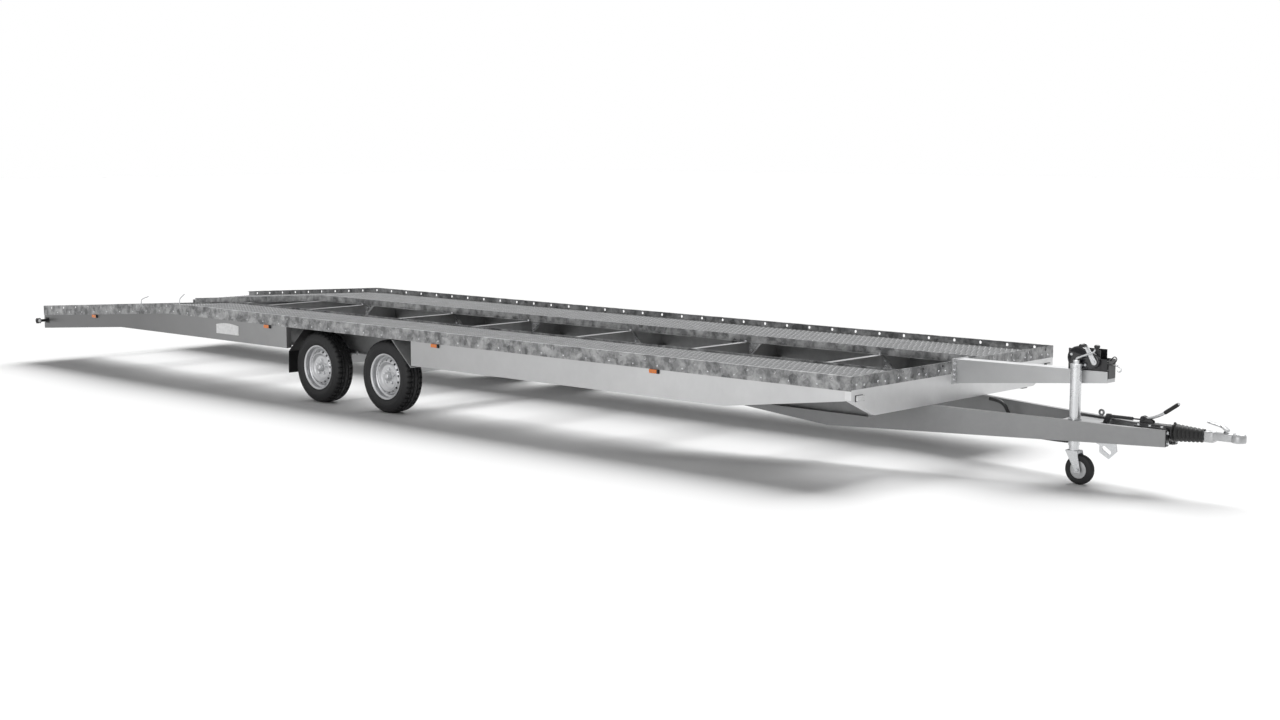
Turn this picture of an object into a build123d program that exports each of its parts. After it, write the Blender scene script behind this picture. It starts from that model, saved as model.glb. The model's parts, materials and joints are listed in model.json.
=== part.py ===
"""Two-axle car hauler trailer, parked on its jockey wheel.

Millimetres. +X points forward to the hitch, +Y to the trailer's left, +Z up from the ground.
The origin is on the ground, halfway along and across the whole trailer.
"""
from build123d import *
from math import atan2, cos, degrees, hypot, radians, sin, tan
import os

os.makedirs("parts", exist_ok=True)

# Overall sizes. Lengths along the trailer are measured from the deck's front edge.
deck_length = 9750
flat_length = 7550
deck_width = 2400
deck_height = 650
ramp_angle = 4.07
nose_reach = 1990

front_x = (deck_length - nose_reach) / 2
rear_x = front_x - deck_length
bend_x = front_x - flat_length
half_width = deck_width / 2
sides = (("left", 1), ("right", -1))

# Clearances
seat_gap = 0.3
run_gap = 0.3

# Deck and its rails
plank_depth = 40
plank_wall = 3
planks_per_track = 3
plank_gap = 1
track_inner = 492
rail_wall = 4
rail_height = 92
rail_rise = 45
rail_lip = 22
lashing_hole = 22
lashing_pitch = 225
lashing_drop = 23
inner_rail_wall = 3
inner_rail_rise = 14
inner_rail_lip = 22

# Chassis beams
beam_top = deck_height - plank_depth
main_beam_y = 885
main_beam_wall = 4
main_beam_flange = 56
main_beam_bottom = 410
side_beam_wall = 5
side_beam_flange = 50
side_beam_nose_bottom = 544
side_beam_kink = 1034
side_beam_bottom = 412
ramp_kink = 8350
ramp_kink_bottom = 425
rear_bottom = 321
end_beam_flange = 50
front_beam_bottom = 430
front_beam_chamfer_y = 941
cross_depth = 150
cross_flange = 50
cross_wall = 4
cross_places = (1007, 2253, 3464, 4659, 5646, 6918, 7550)
ramp_cross_place = 8650
ramp_cross_depth = 100
outrigger_depth = 110
outrigger_flange = 40

# Drawbar
drawbar_nose = 1517
drawbar_half_nose = 75
drawbar_rear = -2300
drawbar_spread = 9.85
drawbar_wall = 5
drawbar_flange = 35
drawbar_nose_bottom = 293
drawbar_nose_top = 398
drawbar_seat = 1290
drawbar_kink = -737
drawbar_kink_bottom = 235

# Wheels and axles
tyre_radius = 291
tyre_width = 175
tyre_outer_y = 1169
bead_radius = 168
flange_radius = 182.5
rim_width = 151
rim_wall = 4
wheel_offset = 30
axle_places = (("front", 4557), ("rear", 5427))
axle_tube = 80
axle_tube_wall = 5
axle_lead = 150
axle_tube_z = 365
arm_inner_y = 950
arm_thick = 38
stub_radius = 22
drum_radius = 128

# Jockey wheel
jockey_ahead = 920
jockey_y = -105
jockey_tube_radius = 35
jockey_tube_wall = 4
jockey_tube_bottom = 245
jockey_tube_top = 756
jockey_leg_top = 600
jockey_fork_top = 213
jockey_wheel_radius = 95
jockey_wheel_width = 50
caster_trail = 45
tube_fit = 0.05

# Winch
winch_post_half = 50
winch_root_bottom = 547
winch_root_top = 705
winch_tip = 1105
winch_tip_bottom = 644
winch_tip_top = 714
winch_flange = 8
winch_ahead = 905

# Coupling
coupling_z = 378
draw_radius = 25
ball_ahead = 1946
socket_radius = 25.2
socket_depth = 24
housing_half = 38


def ahead(distance):
    """X of a place that is this far ahead of the deck's front edge."""
    return front_x + distance


def drop(x):
    """How far the ramp has fallen below the flat deck at x."""
    return max(0, bend_x - x) * tan(radians(ramp_angle))


def upright(y):
    """An upright plane along the trailer at this Y. Its normal is -Y."""
    return Plane.XZ.offset(-y)


def band(points, thickness):
    """Outline of a bent sheet: the points, then the same line moved to their left by thickness."""
    moved = []
    for n, point in enumerate(points):
        before = points[max(n - 1, 0)]
        after = points[min(n + 1, len(points) - 1)]
        normals = []
        for start, end in ((before, point), (point, after)):
            run = hypot(end[0] - start[0], end[1] - start[1])
            if run > 0:
                normals.append((-(end[1] - start[1]) / run, (end[0] - start[0]) / run))
        nx = sum(normal[0] for normal in normals) / len(normals)
        nz = sum(normal[1] for normal in normals) / len(normals)
        scale = thickness / (nx * nx + nz * nz)
        moved.append((point[0] + nx * scale, point[1] + nz * scale))
    return list(points) + moved[::-1]


def tray(outline, back, hand, reach, wall):
    """A folded tray: a web in the plane at back, with its edges turned by reach towards hand."""
    with BuildPart() as folded:
        with BuildSketch(upright(back)):
            Polygon(*outline, align=None)
        extrude(amount=-hand * reach)
        with BuildSketch(upright(back + hand * wall)):
            Polygon(*outline, align=None)
            offset(amount=-wall, kind=Kind.INTERSECTION)
        extrude(amount=-hand * (reach - wall), mode=Mode.SUBTRACT)
    return folded.part


# Main beams: folded channels the whole length of the deck, open outwards, cranked at the ramp
main_beam_outline = (
    (front_x - end_beam_flange, beam_top),
    (front_x - end_beam_flange, main_beam_bottom),
    (front_x - ramp_kink, main_beam_bottom),
    (rear_x + end_beam_flange, rear_bottom),
    (rear_x + end_beam_flange, beam_top - drop(rear_x + end_beam_flange)),
    (bend_x, beam_top),
)
for side, hand in sides:
    with BuildPart() as main_beam:
        add(tray(main_beam_outline, hand * main_beam_y, hand,
                 main_beam_wall + main_beam_flange, main_beam_wall))
    main_beam.part.label = f"main_beam_{side}"
    export_step(main_beam.part, f"parts/main_beam_{side}.step")

# Side beams: smooth folded trays behind the rails, in two lengths with the wheels between them
wheel_gap_front = front_x - 4190
wheel_gap_rear = front_x - 5790
front_side_outline = (
    (wheel_gap_front, beam_top),
    (wheel_gap_front, side_beam_bottom),
    (front_x - side_beam_kink, side_beam_bottom),
    (front_x - end_beam_flange, side_beam_nose_bottom - 6),
    (front_x - end_beam_flange, beam_top),
)
rear_side_outline = (
    (wheel_gap_rear, beam_top),
    (bend_x, beam_top),
    (rear_x, beam_top - drop(rear_x)),
    (rear_x, rear_bottom),
    (front_x - ramp_kink, ramp_kink_bottom),
    (wheel_gap_rear, ramp_kink_bottom),
)
side_beam_y = half_width - rail_wall
for side, hand in sides:
    with BuildPart() as side_beam:
        for outline in (front_side_outline, rear_side_outline):
            add(tray(outline, hand * side_beam_y, -hand, side_beam_flange, side_beam_wall))
    side_beam.part.label = f"side_beam_{side}"
    export_step(side_beam.part, f"parts/side_beam_{side}.step")

# Side rails: plates along the deck's edges with a folded lip and a row of lashing holes
rail_top = deck_height + rail_rise
rail_bottom = rail_top - rail_height
rail_outline = (
    (front_x, rail_bottom),
    (front_x, rail_top),
    (bend_x, rail_top),
    (rear_x, rail_top - drop(rear_x)),
    (rear_x, rail_bottom - drop(rear_x)),
    (bend_x, rail_bottom),
)
lip_outline = (
    (front_x - rail_wall, rail_top - rail_wall),
    (front_x - rail_wall, rail_top),
    (bend_x, rail_top),
    (rear_x, rail_top - drop(rear_x)),
    (rear_x, rail_top - rail_wall - drop(rear_x)),
    (bend_x, rail_top - rail_wall),
)
lashing_count = int(deck_length / lashing_pitch)
lashing_margin = (deck_length - (lashing_count - 1) * lashing_pitch) / 2
lashing_xs = [front_x - lashing_margin - n * lashing_pitch for n in range(lashing_count)]
lashing_spots = [(x, rail_top - lashing_drop - drop(x)) for x in lashing_xs]
for side, hand in sides:
    with BuildPart() as side_rail:
        with BuildSketch(upright(hand * side_beam_y)):
            Polygon(*rail_outline, align=None)
            with Locations(*lashing_spots):
                Circle(lashing_hole / 2, mode=Mode.SUBTRACT)
        extrude(amount=-hand * rail_wall)
        with BuildSketch(upright(hand * side_beam_y)):
            Polygon(*lip_outline, align=None)
        extrude(amount=hand * (rail_lip - rail_wall))
    side_rail.part.label = f"side_rail_{side}"
    export_step(side_rail.part, f"parts/side_rail_{side}.step")

# Deck planks: inverted channels side by side, flat ones in front and sloping ones on the ramp
track_outer = side_beam_y - rail_lip + rail_wall - plank_gap
plank_width = (track_outer - track_inner + plank_gap) / planks_per_track - plank_gap
plank_leg = plank_depth - seat_gap
flat_start = Plane((front_x - rail_wall - plank_gap, 0, deck_height), x_dir=(0, 1, 0), z_dir=(-1, 0, 0))
slope = radians(ramp_angle)
ramp_gap = 4
ramp_start = Plane((bend_x - ramp_gap, 0, deck_height - drop(bend_x - ramp_gap)),
                   x_dir=(0, 1, 0), z_dir=(-cos(slope), 0, -sin(slope)))
plank_runs = (
    (flat_start, flat_length - rail_wall - 2 * plank_gap),
    (ramp_start, (deck_length - flat_length - ramp_gap) / cos(slope) - ramp_gap),
)
for side, hand in sides:
    with BuildPart() as deck:
        for start, length in plank_runs:
            for n in range(planks_per_track):
                middle = hand * (track_inner + plank_width / 2 + n * (plank_width + plank_gap))
                with BuildSketch(start):
                    with Locations((middle, plank_leg / 2)):
                        Rectangle(plank_width, plank_leg)
                    with Locations((middle, plank_leg / 2 + plank_wall)):
                        Rectangle(plank_width - 2 * plank_wall, plank_leg, mode=Mode.SUBTRACT)
                extrude(amount=length)
    deck.part.label = f"deck_{side}"
    export_step(deck.part, f"parts/deck_{side}.step")

# Inner rails: thin folded edges beside the open centre, with a lip turned into the opening
inner_rail_front = front_x - end_beam_flange
inner_rail_end = rear_x + end_beam_flange
inner_face = track_inner - seat_gap


def along_deck(low, high, front, rear):
    """Outline of a strip between two heights over the beams, from front to rear, bent at the ramp."""
    return (
        (front, beam_top + low),
        (front, beam_top + high),
        (bend_x, beam_top + high),
        (rear, beam_top + high - drop(rear)),
        (rear, beam_top + low - drop(rear)),
        (bend_x, beam_top + low),
    )


with BuildPart() as inner_rails:
    for side, hand in sides:
        with BuildSketch(upright(hand * inner_face)):
            Polygon(*along_deck(seat_gap, plank_depth + inner_rail_rise, inner_rail_front, inner_rail_end),
                    align=None)
        extrude(amount=hand * inner_rail_wall)
        with BuildSketch(upright(hand * (inner_face - inner_rail_wall))):
            Polygon(*along_deck(seat_gap, inner_rail_wall + seat_gap, inner_rail_front, inner_rail_end),
                    align=None)
        extrude(amount=hand * inner_rail_lip)
inner_rails.part.label = "inner_rails"
export_step(inner_rails.part, "parts/inner_rails.step")


# Cross members: folded channels between the main beams, with outriggers to the side beams
def channel(x, top, depth, flange):
    """Outline of an upright channel whose web starts at x and whose edges turn forwards."""
    return (
        (x, top),
        (x + flange, top),
        (x + flange, top - cross_wall),
        (x + cross_wall, top - cross_wall),
        (x + cross_wall, top - depth + cross_wall),
        (x + flange, top - depth + cross_wall),
        (x + flange, top - depth),
        (x, top - depth),
    )


cross_xs = [front_x - place for place in cross_places]
ramp_cross_x = front_x - ramp_cross_place
outrigger_xs = [x for x in cross_xs if not wheel_gap_rear - 200 < x < wheel_gap_front + 200]
outrigger_inner = main_beam_y + main_beam_wall
outrigger_reach = side_beam_y - side_beam_wall - outrigger_inner
with BuildPart() as cross_members:
    for x in cross_xs:
        with BuildSketch(upright(-main_beam_y)):
            Polygon(*channel(x, beam_top, cross_depth, cross_flange), align=None)
        extrude(amount=-2 * main_beam_y)
    with BuildSketch(upright(-main_beam_y)):
        ramp_cross_top = beam_top - drop(ramp_cross_x) - seat_gap
        Polygon(*channel(ramp_cross_x, ramp_cross_top, ramp_cross_depth, cross_flange), align=None)
    extrude(amount=-2 * main_beam_y)
cross_members.part.label = "cross_members"
export_step(cross_members.part, "parts/cross_members.step")

with BuildPart() as outriggers:
    for side, hand in sides:
        for x in outrigger_xs + [ramp_cross_x]:
            top = beam_top - main_beam_wall - side_beam_wall - drop(x)
            with BuildSketch(upright(hand * outrigger_inner)):
                Polygon(*channel(x, top, outrigger_depth, outrigger_flange), align=None)
            extrude(amount=-hand * outrigger_reach)
outriggers.part.label = "outriggers"
export_step(outriggers.part, "parts/outriggers.step")

# Gussets: folded wings beside the cross members, under the inner rails. Every second pair
# spreads downwards, and the others spread upwards to the rail.
gusset_wall = 3
gusset_turn = 26
gusset_reach = 125
gusset_height = 116
gusset_y = inner_face - inner_rail_wall - inner_rail_lip
with BuildPart() as gussets:
    slant = hypot(gusset_reach, gusset_height)
    pocket = 1 - gusset_wall * slant / (gusset_reach * gusset_height)
    for side, hand in sides:
        for n, x in enumerate(cross_xs[:6]):
            low = beam_top - gusset_height
            corner_z, far_z = (low, beam_top) if n % 2 == 0 else (beam_top, low)
            for root, way in ((x, -1), (x + cross_flange, 1)):
                for share, reach, mode in ((1, gusset_turn, Mode.ADD),
                                           (pocket, gusset_turn - gusset_wall, Mode.SUBTRACT)):
                    with BuildSketch(upright(hand * gusset_y)):
                        Polygon(
                            (root, corner_z),
                            (root, corner_z + (far_z - corner_z) * share),
                            (root + way * gusset_reach * share, corner_z),
                            align=None,
                        )
                    extrude(amount=-hand * reach, mode=mode)
gussets.part.label = "gussets"
export_step(gussets.part, "parts/gussets.step")

# Front beam: a folded tray across the whole front, with its lower corners cut off
front_beam_half = side_beam_y
with BuildPart() as front_beam:
    with BuildSketch(Plane.YZ.offset(front_x - end_beam_flange)):
        front_beam_outline = (
            (-front_beam_half, beam_top),
            (-front_beam_half, side_beam_nose_bottom),
            (-front_beam_chamfer_y, front_beam_bottom),
            (front_beam_chamfer_y, front_beam_bottom),
            (front_beam_half, side_beam_nose_bottom),
            (front_beam_half, beam_top),
        )
        Polygon(*front_beam_outline, align=None)
    extrude(amount=end_beam_flange)
    with BuildSketch(Plane.YZ.offset(front_x - end_beam_flange)):
        Polygon(*front_beam_outline, align=None)
        offset(amount=-cross_wall, kind=Kind.INTERSECTION)
    extrude(amount=end_beam_flange - cross_wall, mode=Mode.SUBTRACT)
front_beam.part.label = "front_beam"
export_step(front_beam.part, "parts/front_beam.step")

# Front rails: two low plates on the front beam, with the winch beam's flange between them
front_rail_gap = 95
front_rail_holes = 5
front_rail_length = front_beam_half - front_rail_gap
with BuildPart() as front_rails:
    for side, hand in sides:
        middle = hand * (front_rail_gap + front_rail_length / 2)
        with BuildSketch(Plane.YZ.offset(front_x - rail_wall)):
            with Locations((middle, (beam_top + rail_top) / 2)):
                Rectangle(front_rail_length, rail_top - beam_top)
            with Locations((middle, rail_top - lashing_drop)):
                with GridLocations(lashing_pitch, 1, front_rail_holes, 1):
                    Circle(lashing_hole / 2, mode=Mode.SUBTRACT)
        extrude(amount=rail_wall)
front_rails.part.label = "front_rails"
export_step(front_rails.part, "parts/front_rails.step")

# Rear beam: a folded tray between the side beams, which carries the lamps and the plate
rear_beam_half = side_beam_y - side_beam_flange
rear_beam_top = beam_top - drop(rear_x + end_beam_flange) - 4
lamp_depth = 30
rear_face_x = rear_x + lamp_depth
with BuildPart() as rear_beam:
    with BuildSketch(Plane.YZ.offset(rear_face_x)):
        with Locations((0, (rear_beam_top + rear_bottom) / 2)):
            Rectangle(2 * rear_beam_half, rear_beam_top - rear_bottom)
    extrude(amount=end_beam_flange - lamp_depth)
    with BuildSketch(Plane.YZ.offset(rear_face_x + cross_wall)):
        with Locations((0, (rear_beam_top + rear_bottom) / 2)):
            Rectangle(2 * (rear_beam_half - cross_wall), rear_beam_top - rear_bottom - 2 * cross_wall)
    extrude(amount=end_beam_flange - lamp_depth - cross_wall, mode=Mode.SUBTRACT)
rear_beam.part.label = "rear_beam"
export_step(rear_beam.part, "parts/rear_beam.step")

# Tail lamps: one long lamp block near each end of the rear beam
lamp_length = 240
lamp_height = 96
lamp_y = rear_beam_half - lamp_length / 2 - 20
rear_middle_z = (rear_beam_top + rear_bottom) / 2
with BuildPart() as tail_lamps:
    with BuildSketch(Plane.YZ.offset(rear_face_x)):
        with Locations((lamp_y, rear_middle_z), (-lamp_y, rear_middle_z)):
            RectangleRounded(lamp_length, lamp_height, 14)
    extrude(amount=-lamp_depth)
    fillet(tail_lamps.faces().sort_by(Axis.X)[:2].edges(), 6)
tail_lamps.part.label = "tail_lamps"
export_step(tail_lamps.part, "parts/tail_lamps.step")

# Blank plates: the number plate on the rear beam and an arched panel on each side beam
plate_wall = 2
panel_length = 330
panel_height = 78
panel_arch = 16
panel_x = front_x - 6640
panel_z = 520
with BuildPart() as blank_plates:
    with BuildSketch(Plane.YZ.offset(rear_face_x)):
        with Locations((0, rear_middle_z)):
            RectangleRounded(520, 112, 8)
    extrude(amount=-plate_wall)
    for side, hand in sides:
        with BuildSketch(upright(hand * side_beam_y)):
            with BuildLine():
                left_foot = (panel_x - panel_length / 2, panel_z - panel_height / 2)
                right_foot = (panel_x + panel_length / 2, panel_z - panel_height / 2)
                left_top = (left_foot[0], left_foot[1] + panel_height)
                right_top = (right_foot[0], right_foot[1] + panel_height)
                Line(left_foot, right_foot)
                Line(right_foot, right_top)
                ThreePointArc(right_top, (panel_x, right_top[1] + panel_arch), left_top)
                Line(left_top, left_foot)
            make_face()
        extrude(amount=-hand * plate_wall)
blank_plates.part.label = "blank_plates"
export_step(blank_plates.part, "parts/blank_plates.step")

# Marker lamps: amber ones along both sides, white ones on the front beam's lower corners
marker_length = 80
marker_height = 26
marker_depth = 14
marker_z = rail_bottom - seat_gap - marker_height / 2
side_marker_xs = (front_x - 1640, front_x - 3900, front_x - 6050, front_x - 8800)
with BuildPart() as side_markers:
    for side, hand in sides:
        with BuildSketch(upright(hand * side_beam_y)):
            with Locations(*[(x, marker_z - drop(x - marker_length / 2)) for x in side_marker_xs]):
                RectangleRounded(marker_length, marker_height, 6)
        extrude(amount=-hand * marker_depth)
side_markers.part.label = "side_markers"
export_step(side_markers.part, "parts/side_markers.step")

front_marker_y = 1120
front_marker_z = 555
with BuildPart() as front_markers:
    with BuildSketch(Plane.YZ.offset(front_x)):
        with Locations((front_marker_y, front_marker_z), (-front_marker_y, front_marker_z)):
            RectangleRounded(70, 36, 10)
    extrude(amount=18)
front_markers.part.label = "front_markers"
export_step(front_markers.part, "parts/front_markers.step")

# Stalk lamps: rubber arms at the rear corners that carry the outline lamps
stalk_reach = 110
stalk_radius = 13
stalk_z = rail_bottom - drop(rear_x) - 45
stalk_x = rear_x + 60
with BuildPart() as stalk_lamps:
    for side, hand in sides:
        with BuildSketch(upright(hand * half_width)):
            with Locations((stalk_x, stalk_z)):
                Rectangle(60, 50)
        extrude(amount=hand * rail_wall)
        with BuildSketch(upright(hand * half_width)):
            with Locations((stalk_x, stalk_z)):
                Circle(stalk_radius)
        extrude(amount=-hand * (stalk_reach - 34))
        with BuildSketch(upright(hand * (half_width + stalk_reach - 34))):
            with Locations((stalk_x, stalk_z)):
                Circle(26)
        extrude(amount=-hand * 34)
stalk_lamps.part.label = "stalk_lamps"
export_step(stalk_lamps.part, "parts/stalk_lamps.step")

# Drawbar beams: deep tapered trays that spread from the hitch and run under the cross members
spread = radians(drawbar_spread)


def along_drawbar(distance):
    """Distance from the nose along a drawbar beam to a place this far ahead of the deck."""
    return (drawbar_nose - distance) / cos(spread)


drawbar_outline = (
    (along_drawbar(drawbar_nose), drawbar_nose_bottom),
    (along_drawbar(drawbar_nose), drawbar_nose_top),
    (along_drawbar(drawbar_seat), drawbar_nose_top),
    (along_drawbar(20), front_beam_bottom),
    (along_drawbar(-end_beam_flange - 10), front_beam_bottom),
    (along_drawbar(-end_beam_flange - 90), beam_top - cross_depth),
    (along_drawbar(drawbar_rear), beam_top - cross_depth),
    (along_drawbar(drawbar_rear), beam_top - cross_depth - 20),
    (along_drawbar(drawbar_kink), drawbar_kink_bottom),
)
for side, hand in sides:
    outer_face = Plane(
        (ahead(drawbar_nose), hand * drawbar_half_nose, 0),
        x_dir=(-cos(spread), hand * sin(spread), 0),
        z_dir=(hand * sin(spread), cos(spread), 0),
    )
    with BuildPart() as drawbar:
        with BuildSketch(outer_face):
            Polygon(*drawbar_outline, align=None)
        extrude(amount=-hand * drawbar_flange)
        with BuildSketch(outer_face.offset(-hand * drawbar_wall)):
            Polygon(*drawbar_outline, align=None)
            offset(amount=-drawbar_wall, kind=Kind.INTERSECTION)
        extrude(amount=-hand * (drawbar_flange - drawbar_wall), mode=Mode.SUBTRACT)
    drawbar.part.label = f"drawbar_{side}"
    export_step(drawbar.part, f"parts/drawbar_{side}.step")

# Drawbar bridge: two plates between the beams, which hold the jockey wheel's tube
bridge_wall = 6
bridge_rear = 800
bridge_front = 1060
bridge_levels = (330, 385)


def drawbar_inner(distance):
    """Half the width between the drawbar's webs at a place this far ahead of the deck."""
    return drawbar_half_nose + (drawbar_nose - distance) * tan(spread) - drawbar_wall / cos(spread)


with BuildPart() as drawbar_bridge:
    for level in bridge_levels:
        with BuildSketch(Plane.XY.offset(level)):
            Polygon(
                (ahead(bridge_rear), drawbar_inner(bridge_rear)),
                (ahead(bridge_front), drawbar_inner(bridge_front)),
                (ahead(bridge_front), -drawbar_inner(bridge_front)),
                (ahead(bridge_rear), -drawbar_inner(bridge_rear)),
                align=None,
            )
            with Locations((ahead(jockey_ahead), jockey_y)):
                Circle(jockey_tube_radius + seat_gap, mode=Mode.SUBTRACT)
        extrude(amount=bridge_wall)
    for distance in (bridge_rear, bridge_front - bridge_wall):
        with BuildSketch(Plane.XY.offset(bridge_levels[0])):
            half = drawbar_inner(distance + bridge_wall)
            with Locations((ahead(distance + bridge_wall / 2), 0)):
                Rectangle(bridge_wall, 2 * half)
        extrude(amount=bridge_levels[1] - bridge_levels[0] + bridge_wall)
drawbar_bridge.part.label = "drawbar_bridge"
export_step(drawbar_bridge.part, "parts/drawbar_bridge.step")

# Winch beam: a tapered box bolted to the front beam by its flange, reaching over the drawbar
with BuildPart() as winch_beam:
    with BuildSketch(upright(winch_post_half)):
        Polygon(
            (ahead(winch_flange), winch_root_bottom),
            (ahead(winch_flange), winch_root_top),
            (ahead(winch_tip), winch_tip_top),
            (ahead(winch_tip), winch_tip_bottom),
            align=None,
        )
    extrude(amount=2 * winch_post_half)
    with BuildSketch(Plane.YZ.offset(front_x)):
        with Locations((0, (winch_root_bottom + winch_root_top) / 2)):
            Rectangle(2 * front_rail_gap - 4, winch_root_top - winch_root_bottom + 10)
    extrude(amount=winch_flange)
winch_beam.part.label = "winch_beam"
export_step(winch_beam.part, "parts/winch_beam.step")


def winch_beam_top(distance):
    """Height of the winch beam's top this far ahead of the deck."""
    return winch_root_top + (winch_tip_top - winch_root_top) * (distance - winch_flange) / (
        winch_tip - winch_flange)


# Winch: a folded frame on the beam, a drum with its strap, a gear cover and a crank
frame_base = winch_beam_top(winch_ahead + 145) + 0.5
frame_length = 220
frame_height = 130
frame_half = 44
frame_wall = 5
drum_z = frame_base + 74
with BuildPart() as winch_frame:
    with BuildSketch(Plane.YZ.offset(ahead(winch_ahead - 75))):
        with Locations((0, frame_base + frame_height / 2)):
            Rectangle(2 * frame_half, frame_height)
        with Locations((0, frame_base + frame_height / 2 + frame_wall)):
            Rectangle(2 * (frame_half - frame_wall), frame_height, mode=Mode.SUBTRACT)
    extrude(amount=frame_length)
    with BuildSketch(upright(0)):
        with Locations((ahead(winch_ahead), drum_z)):
            Circle(10.3)
    extrude(amount=frame_half, both=True, mode=Mode.SUBTRACT)
winch_frame.part.label = "winch_frame"
export_step(winch_frame.part, "parts/winch_frame.step")

with BuildPart() as winch_drum:
    with BuildSketch(upright(0)):
        with Locations((ahead(winch_ahead), drum_z)):
            Circle(10)
    extrude(amount=frame_half + 6, both=True)
    with BuildSketch(upright(0)):
        with Locations((ahead(winch_ahead), drum_z)):
            Circle(46)
    extrude(amount=frame_half - frame_wall - 4, both=True)
winch_drum.part.label = "winch_drum"
export_step(winch_drum.part, "parts/winch_drum.step")

cover_depth = 24
with BuildPart() as winch_cover:
    with BuildSketch(upright(-frame_half)):
        with Locations((ahead(winch_ahead), drum_z)):
            Circle(72)
    extrude(amount=cover_depth)
    fillet(winch_cover.faces().sort_by(Axis.Y)[0].edges(), 12)
    with BuildSketch(upright(-frame_half)):
        with Locations((ahead(winch_ahead), drum_z)):
            Circle(10.3)
    extrude(amount=10, mode=Mode.SUBTRACT)
winch_cover.part.label = "winch_cover"
export_step(winch_cover.part, "parts/winch_cover.step")

crank_boss = (ahead(winch_ahead + 120), drum_z - 18)
crank_end = (ahead(winch_ahead + 58), drum_z + 84)
crank_y = frame_half
with BuildPart() as winch_crank:
    with BuildSketch(upright(-crank_y)):
        with Locations(crank_boss, crank_end):
            Circle(14)
        crank_run = hypot(crank_end[0] - crank_boss[0], crank_end[1] - crank_boss[1])
        crank_turn = degrees(atan2(crank_end[1] - crank_boss[1], crank_end[0] - crank_boss[0]))
        with Locations(Location(((crank_boss[0] + crank_end[0]) / 2, (crank_boss[1] + crank_end[1]) / 2,
                                 0), (0, 0, crank_turn))):
            Rectangle(crank_run, 22)
    extrude(amount=8)
    with BuildSketch(upright(-crank_y - 8)):
        with Locations(crank_end):
            Circle(11)
    extrude(amount=90)
winch_crank.part.label = "winch_crank"
export_step(winch_crank.part, "parts/winch_crank.step")

# Overrun coupling: a cast housing between the drawbar beams, a bellows, and the head on its tube
housing_height = 84
housing_top = coupling_z + housing_height / 2
housing_rear = drawbar_seat + 10
housing_front = drawbar_nose + 18
bellows_end = 1735
with BuildPart() as coupling_housing:
    with BuildSketch(Plane.XY.offset(drawbar_nose_top)):
        with Locations((ahead((housing_rear + drawbar_nose - 10) / 2), 0)):
            RectangleRounded(drawbar_nose - 10 - housing_rear, 2 * (drawbar_half_nose - 8), 12)
    extrude(amount=9)
    with BuildSketch(Plane.YZ.offset(ahead(housing_rear))):
        with Locations((0, coupling_z)):
            RectangleRounded(2 * housing_half, housing_height, 16)
    extrude(amount=housing_front - housing_rear)
    with BuildSketch(Plane.YZ.offset(ahead(housing_rear))):
        with Locations((0, coupling_z)):
            Circle(draw_radius + seat_gap)
    extrude(amount=housing_front - housing_rear, mode=Mode.SUBTRACT)
coupling_housing.part.label = "coupling_housing"
export_step(coupling_housing.part, "parts/coupling_housing.step")

bellows_folds = 6
bellows_pitch = (bellows_end - housing_front - 12) / bellows_folds
with BuildPart() as coupling_bellows:
    with BuildSketch(Plane.XZ):
        with BuildLine():
            start_x = ahead(housing_front)
            ring = [(start_x, 40), (start_x + 6, 40)]
            for n in range(bellows_folds):
                ring.append((start_x + 6 + (n + 0.5) * bellows_pitch, 47))
                ring.append((start_x + 6 + (n + 1) * bellows_pitch, 37))
            ring.append((ahead(bellows_end), 37))
            Polyline((start_x, draw_radius + seat_gap), *ring,
                     (ahead(bellows_end), draw_radius + seat_gap), close=True)
        make_face()
    revolve(axis=Axis.X)
coupling_bellows.part.position = (0, 0, coupling_z)
coupling_bellows.part.label = "coupling_bellows"
export_step(coupling_bellows.part, "parts/coupling_bellows.step")

head_width = 62
with BuildPart() as coupling_head:
    with BuildSketch(Plane.YZ.offset(ahead(housing_rear - 40))):
        with Locations((0, coupling_z)):
            Circle(draw_radius)
    extrude(amount=1800 - housing_rear + 40)
    with BuildSketch(Plane.XZ.offset(-head_width / 2)):
        with BuildLine():
            Polyline(
                (ahead(bellows_end), coupling_z - 34),
                (ahead(bellows_end), coupling_z + 34),
                (ahead(ball_ahead - 60), coupling_z + 34),
                (ahead(ball_ahead + 10), coupling_z + 40),
                (ahead(nose_reach), coupling_z + 12),
                (ahead(nose_reach), coupling_z - 18),
                (ahead(ball_ahead - 60), coupling_z - 18),
                close=True,
            )
        make_face()
    extrude(amount=head_width)
    fillet(coupling_head.edges().filter_by(Axis.Z).sort_by(Axis.X)[-2:], 28)
    with BuildSketch(Plane.XY.offset(coupling_z - 18)):
        with Locations((ahead(ball_ahead), 0)):
            Circle(socket_radius)
    extrude(amount=socket_depth, mode=Mode.SUBTRACT)
coupling_head.part.label = "coupling_head"
export_step(coupling_head.part, "parts/coupling_head.step")

with BuildPart() as coupling_handle:
    with BuildSketch(upright(22)):
        Polygon(
            (ahead(ball_ahead - 70), coupling_z + 34),
            (ahead(ball_ahead - 30), coupling_z + 37),
            (ahead(ball_ahead - 60), coupling_z + 66),
            (ahead(1756), coupling_z + 92),
            (ahead(1756), coupling_z + 80),
            (ahead(ball_ahead - 90), coupling_z + 58),
            align=None,
        )
    extrude(amount=44)
coupling_handle.part.label = "coupling_handle"
export_step(coupling_handle.part, "parts/coupling_handle.step")

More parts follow.
